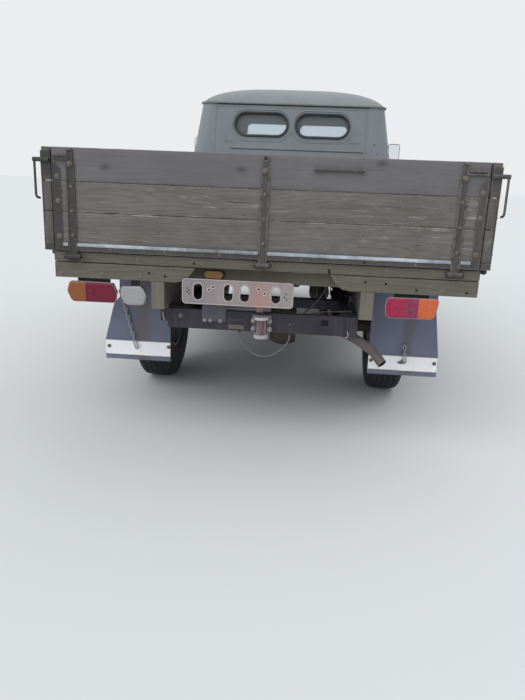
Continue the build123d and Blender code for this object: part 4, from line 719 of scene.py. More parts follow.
# Bed: pine floor boards on hardwood bearers, a headboard on three posts, and a sill whose ends hang
# down as lobes. The boards are bare and worn from loads, the bearers and sill painted olive.
floor_boards = board_finish(
    "floor_boards", "Y", (0.23, 0.20, 0.155), (0.27, 0.255, 0.23), (0.38, 0.33, 0.25), 0.5, 0.6, rub=0.3,
)
deck = bmesh.new()
deck_half, deck_count, deck_gap = 0.982, 12, 0.002
board_pitch = 2 * deck_half / deck_count
for k in range(deck_count):
    low = -deck_half + k * board_pitch + deck_gap
    high = -deck_half + k * board_pitch + board_pitch - deck_gap
    sawn_board(deck, (low, -2.1595, 0.907), (high, 0.3975, 0.945), 1, 101 + k, rings=56)
piece_of("deck_boards", deck, [floor_boards], "root", instead_of="bed_floor")
head_board = board_finish(
    "head_board", "X", (0.145, 0.135, 0.10), (0.20, 0.19, 0.17), (0.32, 0.28, 0.21), 0.5, 0.6,
)
head_planks = bmesh.new()
for number, (low, high) in enumerate(((0.946, 1.110), *BOARD_ROWS[1:])):
    sawn_board(head_planks, (-0.988, 0.3985, low), (0.988, 0.4395, high), 0, 121 + number, rings=80)
for x in (-0.700, 0.0, 0.700):
    flat_bar(head_planks, (x - 0.030, 0.440, 0.865), (x + 0.030, 0.452, 1.400), 0.002, 1)
    for z in (0.985, 1.06, 1.18, 1.32):
        domed_bolt(head_planks, (x, 0.452, z), FORWARD, 0.008, 0.005, 0.012, 2)
        nut(head_planks, (x, 0.3985, z), BACKWARD, 0.016, 0.007, 0.012, 0.003, 2)
piece_of(
    "head_planks", head_planks, [head_board, strap_paint, bolt_steel], "root",
    instead_of="headboard",
)
sill_wood, sill_side = (
    board_finish(
        name, along, (0.118, 0.106, 0.080), (0.140, 0.130, 0.110), (0.24, 0.21, 0.16), 0.25, 0.5, 0.0012,
    )
    for name, along in (("sill_wood", "X"), ("sill_side", "Y"))
)


def round_corners(points, radius, steps=4):
    """The outline's corners turned into arcs of a radius."""
    outline = []
    for k, corner in enumerate(points):
        corner = Vector(corner)
        before = Vector(points[k - 1]) - corner
        after = Vector(points[(k + 1) % len(points)]) - corner
        half = before.angle(after) / 2
        reach = min(radius / math.tan(half), 0.48 * before.length, 0.48 * after.length)
        start, end = corner + before.normalized() * reach, corner + after.normalized() * reach
        for step in range(steps + 1):
            t = step / steps
            outline.append(tuple((1 - t) ** 2 * start + 2 * t * (1 - t) * corner + t * t * end))
    return outline


def corners_of(low, high):
    """The four corners of an upright rectangle."""
    return [low, (high[0], low[1]), high, (low[0], high[1])]


def cut_plate(form, outline, near, far, rounding=0.001, finish=0):
    """A piece cut to an outline of (x, z) that lies between two depths y, its edges softened."""
    front = [form.verts.new((x, near, z)) for x, z in outline]
    back = [form.verts.new((x, far, z)) for x, z in outline]
    faces = [form.faces.new(front), form.faces.new(list(reversed(back)))]
    for k in range(len(outline)):
        nxt = (k + 1) % len(outline)
        faces.append(form.faces.new((front[nxt], front[k], back[k], back[nxt])))
    for face in faces:
        face.material_index = finish
    rim = list(faces[0].edges) + list(faces[1].edges)
    bmesh.ops.bevel(form, geom=rim, offset=rounding, segments=2, affect="EDGES")


bed_sill = bmesh.new()
sawn_board(bed_sill, (-1.000, -2.200, 0.8765), (1.000, -2.160, 0.925), 0, 71, rings=120)
for side in (-1, 1):
    cut = [(0.318, 0.8735), (0.334, 0.851), (0.352, 0.826), (0.377, 0.808), (0.412, 0.8005)]
    lobe = [(0.9995, 0.8735)] + cut + [(0.9995, 0.8005)]
    cut_plate(bed_sill, [(side * x, z) for x, z in lobe], -2.1985, -2.160, 0.0022)
    inner, outer = sorted((side * 0.9805, side * 1.000))
    sawn_board(bed_sill, (inner, -2.159, 0.866), (outer, 0.439, 0.924), 1, 81 + side, rings=90, finish=1)
sill_spots = (
    (-0.967, 0.819, 0.0085), (-0.770, 0.821, 0.0095), (-0.592, 0.904, 0.008), (-0.582, 0.819, 0.0085),
    (0.580, 0.907, 0.008), (0.836, 0.824, 0.008),
)
for x, z, radius in sill_spots:
    domed_bolt(
        bed_sill, (x, -2.1995 if z > 0.88 else -2.198, z), BACKWARD, radius, 0.0045, radius + 0.004, 2,
    )
# Flat dark discs for holes in the sill: painted shade.
for x, z in (
    (-0.323, 0.895), (-0.540, 0.840), (-0.462, 0.827), (0.312, 0.894), (0.314, 0.884), (0.484, 0.847),
    (0.578, 0.844), (0.721, 0.821), (0.950, 0.820),
):
    face = -2.1998 if z > 0.876 else -2.1986
    turned(bed_sill, [(0.0, 0.0062), (0.0002, 0.0058), (0.0002, 0.0)], (x, face, z), BACKWARD, 14, 3)
piece_of(
    "bed_sill", bed_sill, [sill_wood, sill_side, bolt_steel, hole_shade_and_soot], "root", instead_of="bed_edge",
)
bearer_wood = painted(
    "bearer_paint", (0.110, 0.103, 0.083), (0.162, 0.148, 0.115), (0.20, 0.175, 0.135), fading=0.8,
    dustiness=0.5, streaks=0.3, low_dirt=0.5, gloss=0.6, relief=0.002,
)
coat(bearer_wood, "bed_bearers")


# Cab: welded steel shell in faded army green with a pressed roof; dust has settled on the roof and
# in the gutter. Doors, grille, bumper and wheel rims wear the same paint; the inner panels a darker one.
cab_paint = painted(
    "cab_paint", (0.198, 0.220, 0.234), (0.264, 0.286, 0.303), (0.29, 0.28, 0.25), fading=0.7,
    dustiness=0.7, streaks=0.22, low_dirt=0.5, gloss=0.42, rub=0.35, relief=0.0008,
)
roof_paint = painted(
    "roof_paint", (0.170, 0.184, 0.186), (0.232, 0.242, 0.244), (0.27, 0.275, 0.268), fading=0.8,
    dustiness=0.8, streaks=0.1, low_dirt=0.0, rub=0.2, relief=0.0008,
)
inner_paint = painted(
    "inner_paint", (0.120, 0.130, 0.112), (0.150, 0.158, 0.140), (0.22, 0.20, 0.165), fading=0.5,
    streaks=0.05, low_dirt=0.2, rub=0.3, relief=0.0006,
)
coat(cab_paint, "cab_shell", "door_left", "door_right", "grille", "front_bumper")
coat(cab_paint, "rim_front_left", "rim_front_right", "rim_rear_left", "rim_rear_right")
coat(inner_paint, "cab_floor", "wheel_arches", "engine_cover", "dashboard")


# Cab roof: one pressed dome of sheet steel that rises steeply from a narrow gutter and flattens out
# over the seats; its rim is folded down into the gutter and spot-welded to the walls.
def roof_outline(count):
    """The cab's top edge in plan as evenly spaced points, from the middle of the back round anticlockwise."""
    quarter = [k * math.pi / 20 for k in range(11)]
    path = [(0.0, 0.494)] + [(0.662 + 0.110 * math.sin(a), 0.604 - 0.110 * math.cos(a)) for a in quarter]
    path += [(0.542 + 0.230 * math.cos(a), 1.745 + 0.230 * math.sin(a)) for a in quarter]
    path += [(0.40, 1.995), (0.20, 2.010), (0.0, 2.015)]
    runs = [0.0]
    for first, second in zip(path, path[1:]):
        runs.append(runs[-1] + math.dist(first, second))
    side = []
    for k in range(count + 1):
        want = runs[-1] * k / count
        step = max(i for i in range(len(path) - 1) if runs[i] <= want + 1e-9)
        t = (want - runs[step]) / (runs[step + 1] - runs[step])
        side.append([path[step][i] + (path[step + 1][i] - path[step][i]) * t for i in (0, 1)])
    return side + [[-x, y] for x, y in reversed(side[1:-1])]


roof_edge = roof_outline(60)
roof_middle = Vector((0.0, 1.255))
roof_form = bmesh.new()


def roof_ring(share, drop=0.0, offset=0.0, height=None):
    """One ring of the roof: a share of the plan outline, moved out, on the dome or at a height."""
    ring = []
    for k, point in enumerate(roof_edge):
        before, after = roof_edge[k - 1], roof_edge[(k + 1) % len(roof_edge)]
        outward = Vector((after[1] - before[1], before[0] - after[0])).normalized()
        spot = roof_middle + (Vector(point) - roof_middle) * share + outward * offset
        across, along = abs(spot.x) / 0.772, abs(spot.y - roof_middle.y) / 0.761
        rise = 0.57 * max(0.0, 1 - along**6) ** 0.5 + 0.43 * max(0.0, 1 - along**2)
        rise *= 0.1725 * max(0.0, 1 - across**3.6) ** 0.52 * max(0.0, 1 - share**24) ** 0.5
        ring.append(
            roof_form.verts.new((spot.x, spot.y, 1.8975 + rise - drop if height is None else height))
        )
    return ring


roof_rings = [roof_ring(1 - (1 - k / 40) ** 2) for k in range(3, 41)]
gutter = (
    (0.008, 1.8955), (0.0120, 1.8985), (0.0150, 1.8990), (0.0160, 1.8970), (0.0160, 1.8866),
    (0.0150, 1.8855), (-0.036, 1.8855),
)
roof_rings += [roof_ring(1.0, offset=out, height=z) for out, z in gutter]
roof_rings += [roof_ring(share, 0.034) for share in (0.945, 0.90, 0.82, 0.70, 0.55, 0.38, 0.20)]
quads_between(roof_form, roof_rings)
for ring, z in ((roof_rings[0], 2.070), (roof_rings[-1], 2.036)):
    peak = roof_form.verts.new((0.0, roof_middle.y, z))
    for k in range(len(roof_edge)):
        roof_form.faces.new((peak, ring[k], ring[(k + 1) % len(roof_edge)]))
piece_of("pressed_roof", roof_form, [roof_paint], "root", instead_of="cab_roof")


def clear_glass(name, tint, rough=0.02, clear=0.90):
    """Window glass with a film of dust in its corners."""
    material, nodes, shader = new_finish(name)
    film = nodes.ramp(nodes.noise(nodes.own_space(), 5.0, 7, 0.7), 0.35, 0.75, rough, rough + 0.22)
    nodes.feed(shader, Roughness=film, Base_Color=tint)
    shader.inputs["Transmission Weight"].default_value = clear
    shader.inputs["IOR"].default_value = 1.05
    return material


# Cab trim at the back: black rubber seals round the two windows, a welded seam down each side of the
# wall, a black rod under the gutter as a painted shadow of the gutter, and two small blind holes drawn
# as flat dark discs in painted shade.
def wall_y(z):
    return 0.486 + 0.008 * (z - 1.235) / 0.650


def slot_line(x, z, length, height, steps=8, upright=False):
    """Outline of a round-ended slot."""
    reach, radius = (length - height) / 2, height / 2
    points = []
    for end in (1, -1):
        for k in range(steps + 1):
            angle = math.pi * (k / steps - 0.5)
            u, v = end * (reach + radius * math.cos(angle)), end * radius * math.sin(angle)
            points.append((x - v, z + u) if upright else (x + u, z + v))
    return points


cab_trim = bmesh.new()
window_rings = ((0.003, 0.0, 0.0105, 10, 0), (0.0095, 0.008, 0.0042, 8, 0))
for rings in (window_rings, ((0.001, 0.050, 0.0045, 8, 1),)):
    for x in (-0.2575, 0.2575):
        for out, wider, radius, sides, finish in rings:
            line = [
                (px, wall_y(pz) - out, pz)
                for px, pz in slot_line(x, 1.728, 0.444 + wider, 0.184 + wider, 14)
            ]
            bent_rod(cab_trim, line + [line[0]], radius, sides, finish)
for x, lean in ((-0.657, 0.012), (0.631, -0.012)):
    line = [(x + lean * k / 8, wall_y(1.40 + 0.059 * k) - 0.0006, 1.40 + 0.059 * k) for k in range(9)]
    bent_rod(cab_trim, line, 0.0028, 8, 1)
# Painted shadow: a black rubber rod along the gutter's foot darkens the line where the gutter's shadow falls.
bent_rod(cab_trim, [(x, wall_y(1.880) - 0.001, 1.8815) for x in (-0.640, -0.3, 0.0, 0.3, 0.640)], 0.0045, 8)
bent_rod(
    cab_trim, [(x, wall_y(1.868) - 0.0004, 1.862) for x in (-0.640, -0.3, 0.0, 0.3, 0.640)], 0.0022, 8, 1,
)
# The blind holes: flat dark discs, painted shade.
for x, z in ((0.700, 1.592), (0.729, 1.521)):
    turned(cab_trim, [(0.0, 0.006), (0.0004, 0.006)], (x, wall_y(z), z), BACKWARD, 12)
bent_rod(
    cab_trim, [(x, wall_y(1.527) - 0.0042, 1.5275) for x in (-0.515, -0.2, 0.1, 0.4, 0.610)], 0.0022, 8,
)
seal_rubber = painted(
    "seal_rubber", (0.026, 0.028, 0.032), (0.060, 0.066, 0.078), (0.14, 0.135, 0.125), gloss=0.55, rub=0.0,
    dustiness=0.7,
)
piece_of("cab_trim", cab_trim, [seal_rubber, cab_paint], "root")
coat(clear_glass("pane_glass", (0.82, 0.88, 0.92)), "cab_glass", "door_glass_left", "door_glass_right")


# Under the bed: pressed frame rails, axles, springs, tanks and shafts in old black-brown chassis
# paint, all under a coat of dried mud that gets thicker towards the ground.
chassis_paint = painted(
    "chassis_paint", (0.012, 0.011, 0.020), (0.026, 0.023, 0.038), (0.095, 0.082, 0.082), fading=0.7,
    dustiness=0.55, streaks=0.3, low_dirt=0.7, gloss=0.55, rub=0.4, bare=(0.15, 0.10, 0.075), rusting=0.1,
    relief=0.002,
)
casting_grime = painted(
    "casting_grime", (0.040, 0.036, 0.032), (0.075, 0.068, 0.060), (0.16, 0.135, 0.105), dustiness=0.8,
    streaks=0.2, low_dirt=0.9, gloss=0.6, rub=0.3, rusting=0.15, relief=0.003,
)
coat(chassis_paint, "frame", "shock_absorbers", "propeller_shafts", "tie_rod", "leaf_springs")
tank_paint = painted(
    "tank_paint", (0.075, 0.075, 0.060), (0.125, 0.122, 0.100), (0.19, 0.165, 0.130), fading=0.7,
    dustiness=0.8, streaks=0.4, low_dirt=0.9, rub=0.4, rusting=0.12, relief=0.0015,
)
coat(tank_paint, "fuel_tanks")
coat(casting_grime, "front_axle", "rear_axle", "knuckle_left", "knuckle_right", "engine_block", "gearbox")
rusted_steel = painted(
    "rusted_steel", (0.105, 0.080, 0.080), (0.215, 0.175, 0.175), (0.26, 0.21, 0.18), fading=0.9,
    dustiness=0.4, low_dirt=0.2, rub=0.6, bare=(0.34, 0.30, 0.29), rusting=0.34, relief=0.0025,
)
coat(rusted_steel, "exhaust")


def stain_or_painted_shade(material, colour, axis, low, high, soft, strength, scale=9.0):
    """Lays a stain, or a band of painted shade, over a finish between two places along an axis, with a ragged
    soft edge.
    """
    nodes, shader = Shading(material.node_tree), material.node_tree.nodes["Principled BSDF"]
    under = shader.inputs["Base Color"].links[0].from_socket
    spot = nodes.own_space()
    ragged = nodes.calc("MULTIPLY", nodes.minus(nodes.noise(spot, scale, 6, 0.7), 0.5), 2.5 * soft)
    run = nodes.plus(nodes.axis(spot, axis), ragged)
    mask = nodes.times(nodes.ramp(run, low - soft, low + soft), nodes.ramp(run, high + soft, high - soft))
    nodes.feed(shader, Base_Color=nodes.mix(nodes.times(mask, strength), under, colour))


# Painted shade: the tailgate irons' left end and the left side's irons darkened for the shade on the truck's
# left.
stain_or_painted_shade(strap_paint, (0.026, 0.025, 0.023), "X", -1.20, -0.87, 0.01, 0.6)
hook_steel = painted(
    "hook_steel", (0.190, 0.135, 0.135), (0.330, 0.270, 0.275), (0.30, 0.25, 0.22), fading=1.0,
    dustiness=0.5, streaks=0.2, low_dirt=0.1, rub=0.7, bare=(0.46, 0.42, 0.42), rusting=0.28, relief=0.002,
)
stain_or_painted_shade(hook_steel, (0.150, 0.068, 0.055), "X", -0.0095, 0.0095, 0.003, 0.75)
stain_or_painted_shade(hook_steel, (0.44, 0.40, 0.41), "Z", 0.50, 0.5555, 0.002, 0.7)
stain_or_painted_shade(hook_steel, (0.52, 0.50, 0.50), "Z", 0.630, 0.70, 0.002, 0.85)
stain_or_painted_shade(hook_steel, (0.030, 0.026, 0.036), "Y", -2.1183, -2.05, 0.0006, 1.0, 200.0)
coat(hook_steel, "tow_hook")


# On the rear beam: four nuts round the hook, two small steel plates with their bolts, a clip at the
# left end, and a steel brake pipe that climbs from the beam to the bed. Greasy, with bright threads.
BEAM_FACE = -2.1095
beam_bits = bmesh.new()
for x in (-0.040, 0.040):
    for z in (0.577, 0.618):
        nut(beam_bits, (x, -2.118, z), BACKWARD, 0.017, 0.008, 0.0125, 0.004, 3)
cut_plate(
    beam_bits, round_corners(corners_of((-0.297, 0.602), (-0.180, 0.682)), 0.006), -2.1135, BEAM_FACE,
    0.001, 1,
)
for x in (-0.283, -0.255, -0.205):
    nut(beam_bits, (x, -2.1135, 0.606), BACKWARD, 0.014, 0.007, 0.010, 0.004, 3)
cut_plate(
    beam_bits, round_corners(corners_of((-0.164, 0.569), (-0.088, 0.589)), 0.003), -2.1125, BEAM_FACE,
    0.0008,
)
flat_bar(beam_bits, (-0.160, -2.1122, 0.611), (-0.090, BEAM_FACE, 0.619), 0.001, 2)
flat_bar(beam_bits, (-0.509, -2.108, 0.588), (-0.469, -2.074, 0.652), 0.003, 2)
bent_rod(
    beam_bits,
    [
        (-0.494, -2.106, 0.638), (-0.494, -2.114, 0.636), (-0.491, -2.117, 0.617), (-0.486, -2.114, 0.598),
        (-0.486, -2.106, 0.594),
    ],
    0.0038, 10, 3,
)
# A dark plug in the exhaust's mouth: soot and painted shade inside the pipe.
mouth, outlet = Vector((0.623, -1.970, 0.391)), Vector((0.048, -0.048, -0.053)).normalized()
mouth_plug_soot_and_shade = [(0.0, 0.0), (0.0, 0.0228), (0.0412, 0.0228), (0.0415, 0.0216), (0.032, 0.0212), (0.030, 0.0)]
turned(beam_bits, mouth_plug_soot_and_shade, mouth - outlet * 0.042, outlet, 24, 4)
bent_rod(
    beam_bits,
    [
        (0.421, -2.104, 0.590), (0.425, -2.110, 0.580), (0.429, -2.110, 0.566), (0.424, -2.108, 0.556),
        (0.414, -2.106, 0.553),
    ],
    0.003, 8, 3,
)
# A dark plate behind the hole in the beam: painted shade where the view through is dark.
flat_bar(beam_bits, (0.290, -2.1035, 0.604), (0.331, -2.1025, 0.641), 0.0003, 4)
domed_bolt(beam_bits, (-0.405, -2.1098, 0.622), BACKWARD, 0.007, 0.004, 0.011)
domed_bolt(beam_bits, (0.140, -2.1098, 0.606), BACKWARD, 0.005, 0.003)
pipe_line = [
    (0.205, -2.098, 0.661), (0.216, -2.098, 0.672), (0.235, -2.092, 0.688), (0.262, -2.080, 0.715),
    (0.288, -2.070, 0.750), (0.308, -2.066, 0.790), (0.320, -2.066, 0.830), (0.324, -2.066, 0.862),
]
bent_rod(beam_bits, pipe_line, 0.0045, 10, 2)
bent_rod(
    beam_bits,
    [(0.235, -2.104, 0.664), (0.300, -2.100, 0.676), (0.370, -2.096, 0.680), (0.440, -2.092, 0.684)], 0.004,
    10, 2,
)
bright_thread = painted(
    "bright_thread", (0.26, 0.25, 0.25), (0.42, 0.41, 0.41), (0.28, 0.24, 0.2), gloss=0.3, dustiness=0.3,
    rub=0.0, rusting=0.2, relief=0.0005,
)
blue_plate = painted(
    "blue_plate", (0.065, 0.072, 0.092), (0.105, 0.115, 0.140), (0.14, 0.12, 0.10), rusting=0.12,
)
piece_of(
    "beam_bits", beam_bits, [bolt_steel, blue_plate, chassis_paint, bright_thread, hole_shade_and_soot], "root",
)


# Flaps: thick rubber sheets, blue-grey with age, with a rusty streak where water runs off a bolt,
# and a white-painted tin strip riveted across the foot of each.
flap_rubber = painted(
    "flap_rubber", (0.112, 0.126, 0.188), (0.195, 0.214, 0.305), (0.20, 0.185, 0.175), fading=0.9,
    dustiness=0.3, streaks=0.2, low_dirt=0.35, gloss=0.62, rub=0.0, relief=0.0018,
)
stain_or_painted_shade(flap_rubber, (0.135, 0.112, 0.100), "X", -0.745, -0.668, 0.012, 0.6)
stain_or_painted_shade(flap_rubber, (0.130, 0.118, 0.100), "X", 0.757, 0.812, 0.012, 0.6)
coat(flap_rubber, "mudflaps")
strip_white = painted(
    "strip_white", (0.97, 0.97, 0.97), (0.93, 0.93, 0.93), (0.55, 0.52, 0.48), fading=0.3, dustiness=0.2,
    streaks=0.15, low_dirt=0.15, gloss=0.4, rub=0.6, bare=(0.22, 0.16, 0.12), rusting=0.06, relief=0.001,
)
coat(strip_white, "flap_strips")
zinc = painted(
    "zinc_chain", (0.30, 0.30, 0.30), (0.42, 0.42, 0.42), (0.26, 0.22, 0.18), fading=0.8, dustiness=0.4,
    streaks=0.1, low_dirt=0.3, gloss=0.3, rub=0.0, rusting=0.25, relief=0.0004,
)
coat(zinc, "flap_chains")
flap_trim = bmesh.new()
for x, z in ((-0.558, 0.341), (-0.905, 0.330), (0.593, 0.334), (0.942, 0.334)):
    domed_bolt(flap_trim, (x, -1.704, z), BACKWARD, 0.0065, 0.004, 0.011)
for low, high in ((-0.924, -0.550), (0.579, 0.958)):
    flat_bar(flap_trim, (low, -1.7052, 0.3655), (high, -1.7012, 0.3705), 0.0008, 1)
cut_plate(
    flap_trim,
    round_corners(
        [
            (0.734, 0.330), (0.752, 0.322), (0.774, 0.322), (0.790, 0.332), (0.772, 0.340), (0.764, 0.352),
            (0.756, 0.340),
        ],
        0.005,
    ),
    -1.7065, -1.7035, 0.0008,
)
domed_bolt(flap_trim, (0.762, -1.7065, 0.333), BACKWARD, 0.006, 0.004)
strip_edge = painted("strip_edge", (0.34, 0.35, 0.38), (0.50, 0.51, 0.54), (0.3, 0.27, 0.24), rub=0.3)
piece_of("flap_trim", flap_trim, [bolt_steel, strip_edge], "root")


# Plate bracket: a blank steel plate with upright slots, cut and rolled at its rim, between the beam and
# the bed. Its paint has gone, and the bare metal is grey at one end and rusty in the middle.
plate_metal = painted(
    "plate_metal", (0.265, 0.228, 0.225), (0.34, 0.295, 0.285), (0.20, 0.13, 0.095), fading=0.7,
    dustiness=0.3, streaks=0.35, low_dirt=0.15, gloss=0.4, rub=0.7, bare=(0.20, 0.11, 0.075), rusting=0.14,
)
stain_or_painted_shade(plate_metal, (0.42, 0.185, 0.125), "X", -0.045, 0.045, 0.035, 0.5, 22.0)
stain_or_painted_shade(plate_metal, (0.175, 0.160, 0.168), "X", -0.390, -0.235, 0.05, 0.5, 14.0)
coat(plate_metal, "plate_bracket")
PLATE_FACE = -2.2081
plate_trim = bmesh.new()
for x in (-0.302, -0.156, -0.078, 0.070):
    line = [(px, -2.2086, pz) for px, pz in slot_line(x, 0.765, 0.084, 0.048, upright=True)]
    bent_rod(plate_trim, line + [line[0]], 0.0024, 8)
edge_line = [
    (px, -2.2080, pz)
    for px, pz in round_corners(corners_of((-0.3765, 0.7065), (0.1505, 0.8235)), 0.0185, 6)
]
bent_rod(plate_trim, edge_line + [edge_line[0]], 0.0022, 8)
# Grommet rings round flat dark discs stand for holes in the plate: painted shade.
for x, z in ((-0.249, 0.776), (-0.229, 0.790), (-0.012, 0.790), (0.016, 0.770)):
    turned(
        plate_trim, [(0.0, 0.0105), (0.0012, 0.0098), (0.0012, 0.0058), (0.0003, 0.005)],
        (x, PLATE_FACE, z), BACKWARD, 18,
    )
    turned(plate_trim, [(0.0, 0.005), (0.0006, 0.005)], (x, PLATE_FACE, z), BACKWARD, 14, 1)
# Small flat dark discs for holes in the plate: painted shade.
for x, z in (
    (-0.356, 0.778), (-0.345, 0.770), (-0.355, 0.762), (-0.344, 0.754), (0.118, 0.774), (0.112, 0.758),
    (0.122, 0.746),
):
    turned(plate_trim, [(0.0, 0.0036), (0.0004, 0.0036)], (x, PLATE_FACE, z), BACKWARD, 10, 1)
plate_rim = painted(
    "plate_rim", (0.42, 0.385, 0.38), (0.52, 0.48, 0.475), (0.24, 0.17, 0.13), fading=0.8, dustiness=0.3,
    streaks=0.3, low_dirt=0.0, gloss=0.4, rub=0.0, rusting=0.12, relief=0.0008,
)
piece_of("plate_trim", plate_trim, [plate_rim, hole_shade_and_soot], "root")


# Rear lamps: two tail lamps and a reversing lamp, moulded plastic lenses with fine ribs screwed to
# black bodies under the sill. A small amber marker sits on the first cross bearer. Faded and dusty.
def lamp_plastic(name, colour, dust, amount=0.35, rough=0.22):
    """Coloured lens plastic with a film of dust and scratches."""
    material, nodes, shader = new_finish(name)
    film = nodes.ramp(nodes.noise(nodes.own_space(), 60.0, 7, 0.7), 0.35, 0.75, 0.0, amount)
    nodes.feed(
        shader, Base_Color=nodes.mix(film, colour, dust), Roughness=nodes.ramp(film, 0, 1, rough, 0.8),
    )
    shader.inputs["Specular IOR Level"].default_value = 0.35
    return material


# The right lamp's red and amber lenses are lighter copies of the left lamp's plastics: painted light on the
# lit right side, with the left lamp's colours darker in painted shade.
lens_finishes = [
    lamp_plastic("lamp_body", (0.018, 0.018, 0.020), (0.09, 0.08, 0.07), 0.5, 0.45),
    lamp_plastic("lens_red", (0.140, 0.001, 0.020), (0.14, 0.04, 0.05), 0.15, 0.4),
    lamp_plastic("lens_amber", (0.235, 0.066, 0.014), (0.22, 0.16, 0.10), 0.25),
    lamp_plastic("lens_reverse", (0.330, 0.320, 0.330), (0.24, 0.22, 0.20), 0.4),
    lamp_plastic("lens_rim", (0.330, 0.290, 0.300), (0.25, 0.21, 0.18), 0.5, 0.4),
    lamp_plastic("lens_dark_red", (0.220, 0.018, 0.060), (0.24, 0.16, 0.15), 0.3),
    lamp_plastic("lens_marker", (0.430, 0.220, 0.080), (0.36, 0.28, 0.20), 0.5),
    lamp_plastic("lens_red_right_painted_light", (0.310, 0.004, 0.045), (0.26, 0.14, 0.14), 0.2),
    lamp_plastic("lens_amber_right_painted_light", (0.560, 0.100, 0.024), (0.36, 0.24, 0.16), 0.25),
]
tail_lamps = bmesh.new()


def lens_sheet(form, corners, face, depth, columns, rows, ribs, finish_at):
    """A ribbed lens over an outline given from top left round by bottom to top right, its rim turned back."""
    rim_round, rim_plain, corner_reach = 0.008, 0.010, 0.012
    top_left, mid_left, low_left, low_right, mid_right, top_right = corners
    grid = []
    for i in range(rows + 1):
        v = i / rows
        line = []
        if v < 0.5:
            left = low_left[0] + (mid_left[0] - low_left[0]) * v * 2
            right_x = low_right[0] + (mid_right[0] - low_right[0]) * v * 2
        else:
            left = mid_left[0] + (top_left[0] - mid_left[0]) * (v * 2 - 1)
            right_x = mid_right[0] + (top_right[0] - mid_right[0]) * (v * 2 - 1)
        wide = right_x - left
        for j in range(columns + 1):
            t = j / columns
            low = low_left[1] + (low_right[1] - low_left[1]) * t
            tall = top_left[1] + (top_right[1] - top_left[1]) * t - low
            x, z = left + wide * t, low + tall * v
            near_edge = min(t * wide, (1 - t) * wide, v * tall, (1 - v) * tall)
            round_off = 1 - math.sqrt(max(0.0, 1 - (1 - min(near_edge / rim_round, 1.0)) ** 2))
            cut = max(0.0, rim_plain - near_edge) / rim_plain
            cut_x = max(0.0, corner_reach - min(t, 1 - t) * wide)
            cut_z = max(0.0, corner_reach - min(v, 1 - v) * tall)
            shift = cut_x * cut_z * 28
            x += shift if t < 0.5 else -shift
            z += shift if v < 0.5 else -shift
            line.append(form.verts.new((x, face + depth * round_off - ribs(x, z) * (1 - cut), z)))
        grid.append(line)
    for i in range(rows):
        for j in range(columns):
            made = form.faces.new((grid[i][j], grid[i][j + 1], grid[i + 1][j + 1], grid[i + 1][j]))
            made.material_index = finish_at(made.calc_center_median())
    rim = grid[0] + [row[-1] for row in grid[1:]] + grid[-1][-2::-1] + [row[0] for row in grid[-2:0:-1]]
    return [vert.co.copy() for vert in rim]


def upright_ribs(x, z):
    return 0.0007 * (0.5 + 0.5 * math.cos(2 * math.pi * x / 0.008))


def small_cushions(x, z):
    return 0.0022 * (abs(math.sin(math.pi * x / 0.0085)) * abs(math.sin(math.pi * z / 0.0096))) ** 0.5


def lamp_body(form, corners, face, foot, margin=0.004):
    """The black body behind a lens and the foot that holds it to the sill."""
    middle_x = sum(x for x, z in corners) / 6
    middle_z = sum(z for x, z in corners) / 6
    inner = [
        (
            x + (middle_x - x) * margin / abs(middle_x - x),
            z + (middle_z - z) * min(1, margin / max(abs(middle_z - z), 0.01)),
        )
        for x, z in corners
    ]
    cut_plate(form, round_corners(inner[::-1], 0.008), face, -2.162)
    low, high = min(x for x, z in corners) + 0.040, max(x for x, z in corners) - 0.040
    flat_bar(form, (low, -2.162, foot), (high, -2.157, 0.864), 0.0008)


left_lamp = (
    (-0.930, 0.784), (-0.943, 0.734), (-0.922, 0.686), (-0.708, 0.687), (-0.701, 0.736), (-0.719, 0.781),
)
right_lamp = (
    (0.590, 0.781), (0.586, 0.733), (0.594, 0.686), (0.812, 0.687), (0.824, 0.735), (0.830, 0.783),
)
reverse_lamp = (
    (-0.679, 0.768), (-0.680, 0.723), (-0.657, 0.680), (-0.567, 0.683), (-0.556, 0.719), (-0.576, 0.773),
)
for corners, face, colours in (
    (left_lamp, -2.2052, lambda at: 2 if at.x < -0.851 else 1),
    (right_lamp, -2.2052, lambda at: 7 if at.x < 0.680 else (5 if at.x < 0.737 else 8)),
):
    rim = lens_sheet(tail_lamps, corners, face, 0.008, 120, 24, upright_ribs, colours)
    bent_rod(tail_lamps, rim[::2] + [rim[0]], 0.0022, 6, 4)
    lamp_body(tail_lamps, corners, face + 0.009, 0.706)
rim = lens_sheet(tail_lamps, reverse_lamp, -2.2032, 0.006, 88, 64, small_cushions, lambda at: 3)
bent_rod(tail_lamps, rim[::2] + [rim[0]], 0.002, 6, 4)
lamp_body(tail_lamps, reverse_lamp, -2.196, 0.700)
for x, z, radius in ((-0.824, 0.735, 0.020), (0.710, 0.735, 0.020)):
    turned(
        tail_lamps,
        [
            (0.0, radius), (0.0022, radius - 0.001), (0.0022, radius - 0.003), (0.0014, radius - 0.004),
            (0.0026, radius * 0.5), (0.003, 0.0),
        ],
        (x, -2.2056, z), BACKWARD, 28, 1 if x < 0 else 5,
    )
for x in (-0.845, 0.674, 0.743):
    turned(tail_lamps, [(0.0, 0.0035), (0.0012, 0.003)], (x, -2.2048, 0.700), BACKWARD, 10)
cut_plate(tail_lamps, slot_line(-0.243, 0.834, 0.113, 0.040, 10), -2.103, -2.095)
cut_plate(tail_lamps, slot_line(-0.243, 0.834, 0.107, 0.034, 10), -2.1165, -2.102, 0.006, 6)
for k in range(9):
    flat_bar(
        tail_lamps, (-0.2830 + k * 0.0095, -2.1169, 0.822), (-0.2795 + k * 0.0095, -2.1150, 0.846), 0.0006,
        6,
    )
piece_of("tail_lamps", tail_lamps, lens_finishes, "root", instead_of="rear_lamps")
black_paint = painted(
    "black_paint", (0.03, 0.03, 0.03), (0.05, 0.05, 0.05), (0.12, 0.11, 0.1), gloss=0.45, rub=0.2,
)
coat(black_paint, "mirrors", "steering_wheel")


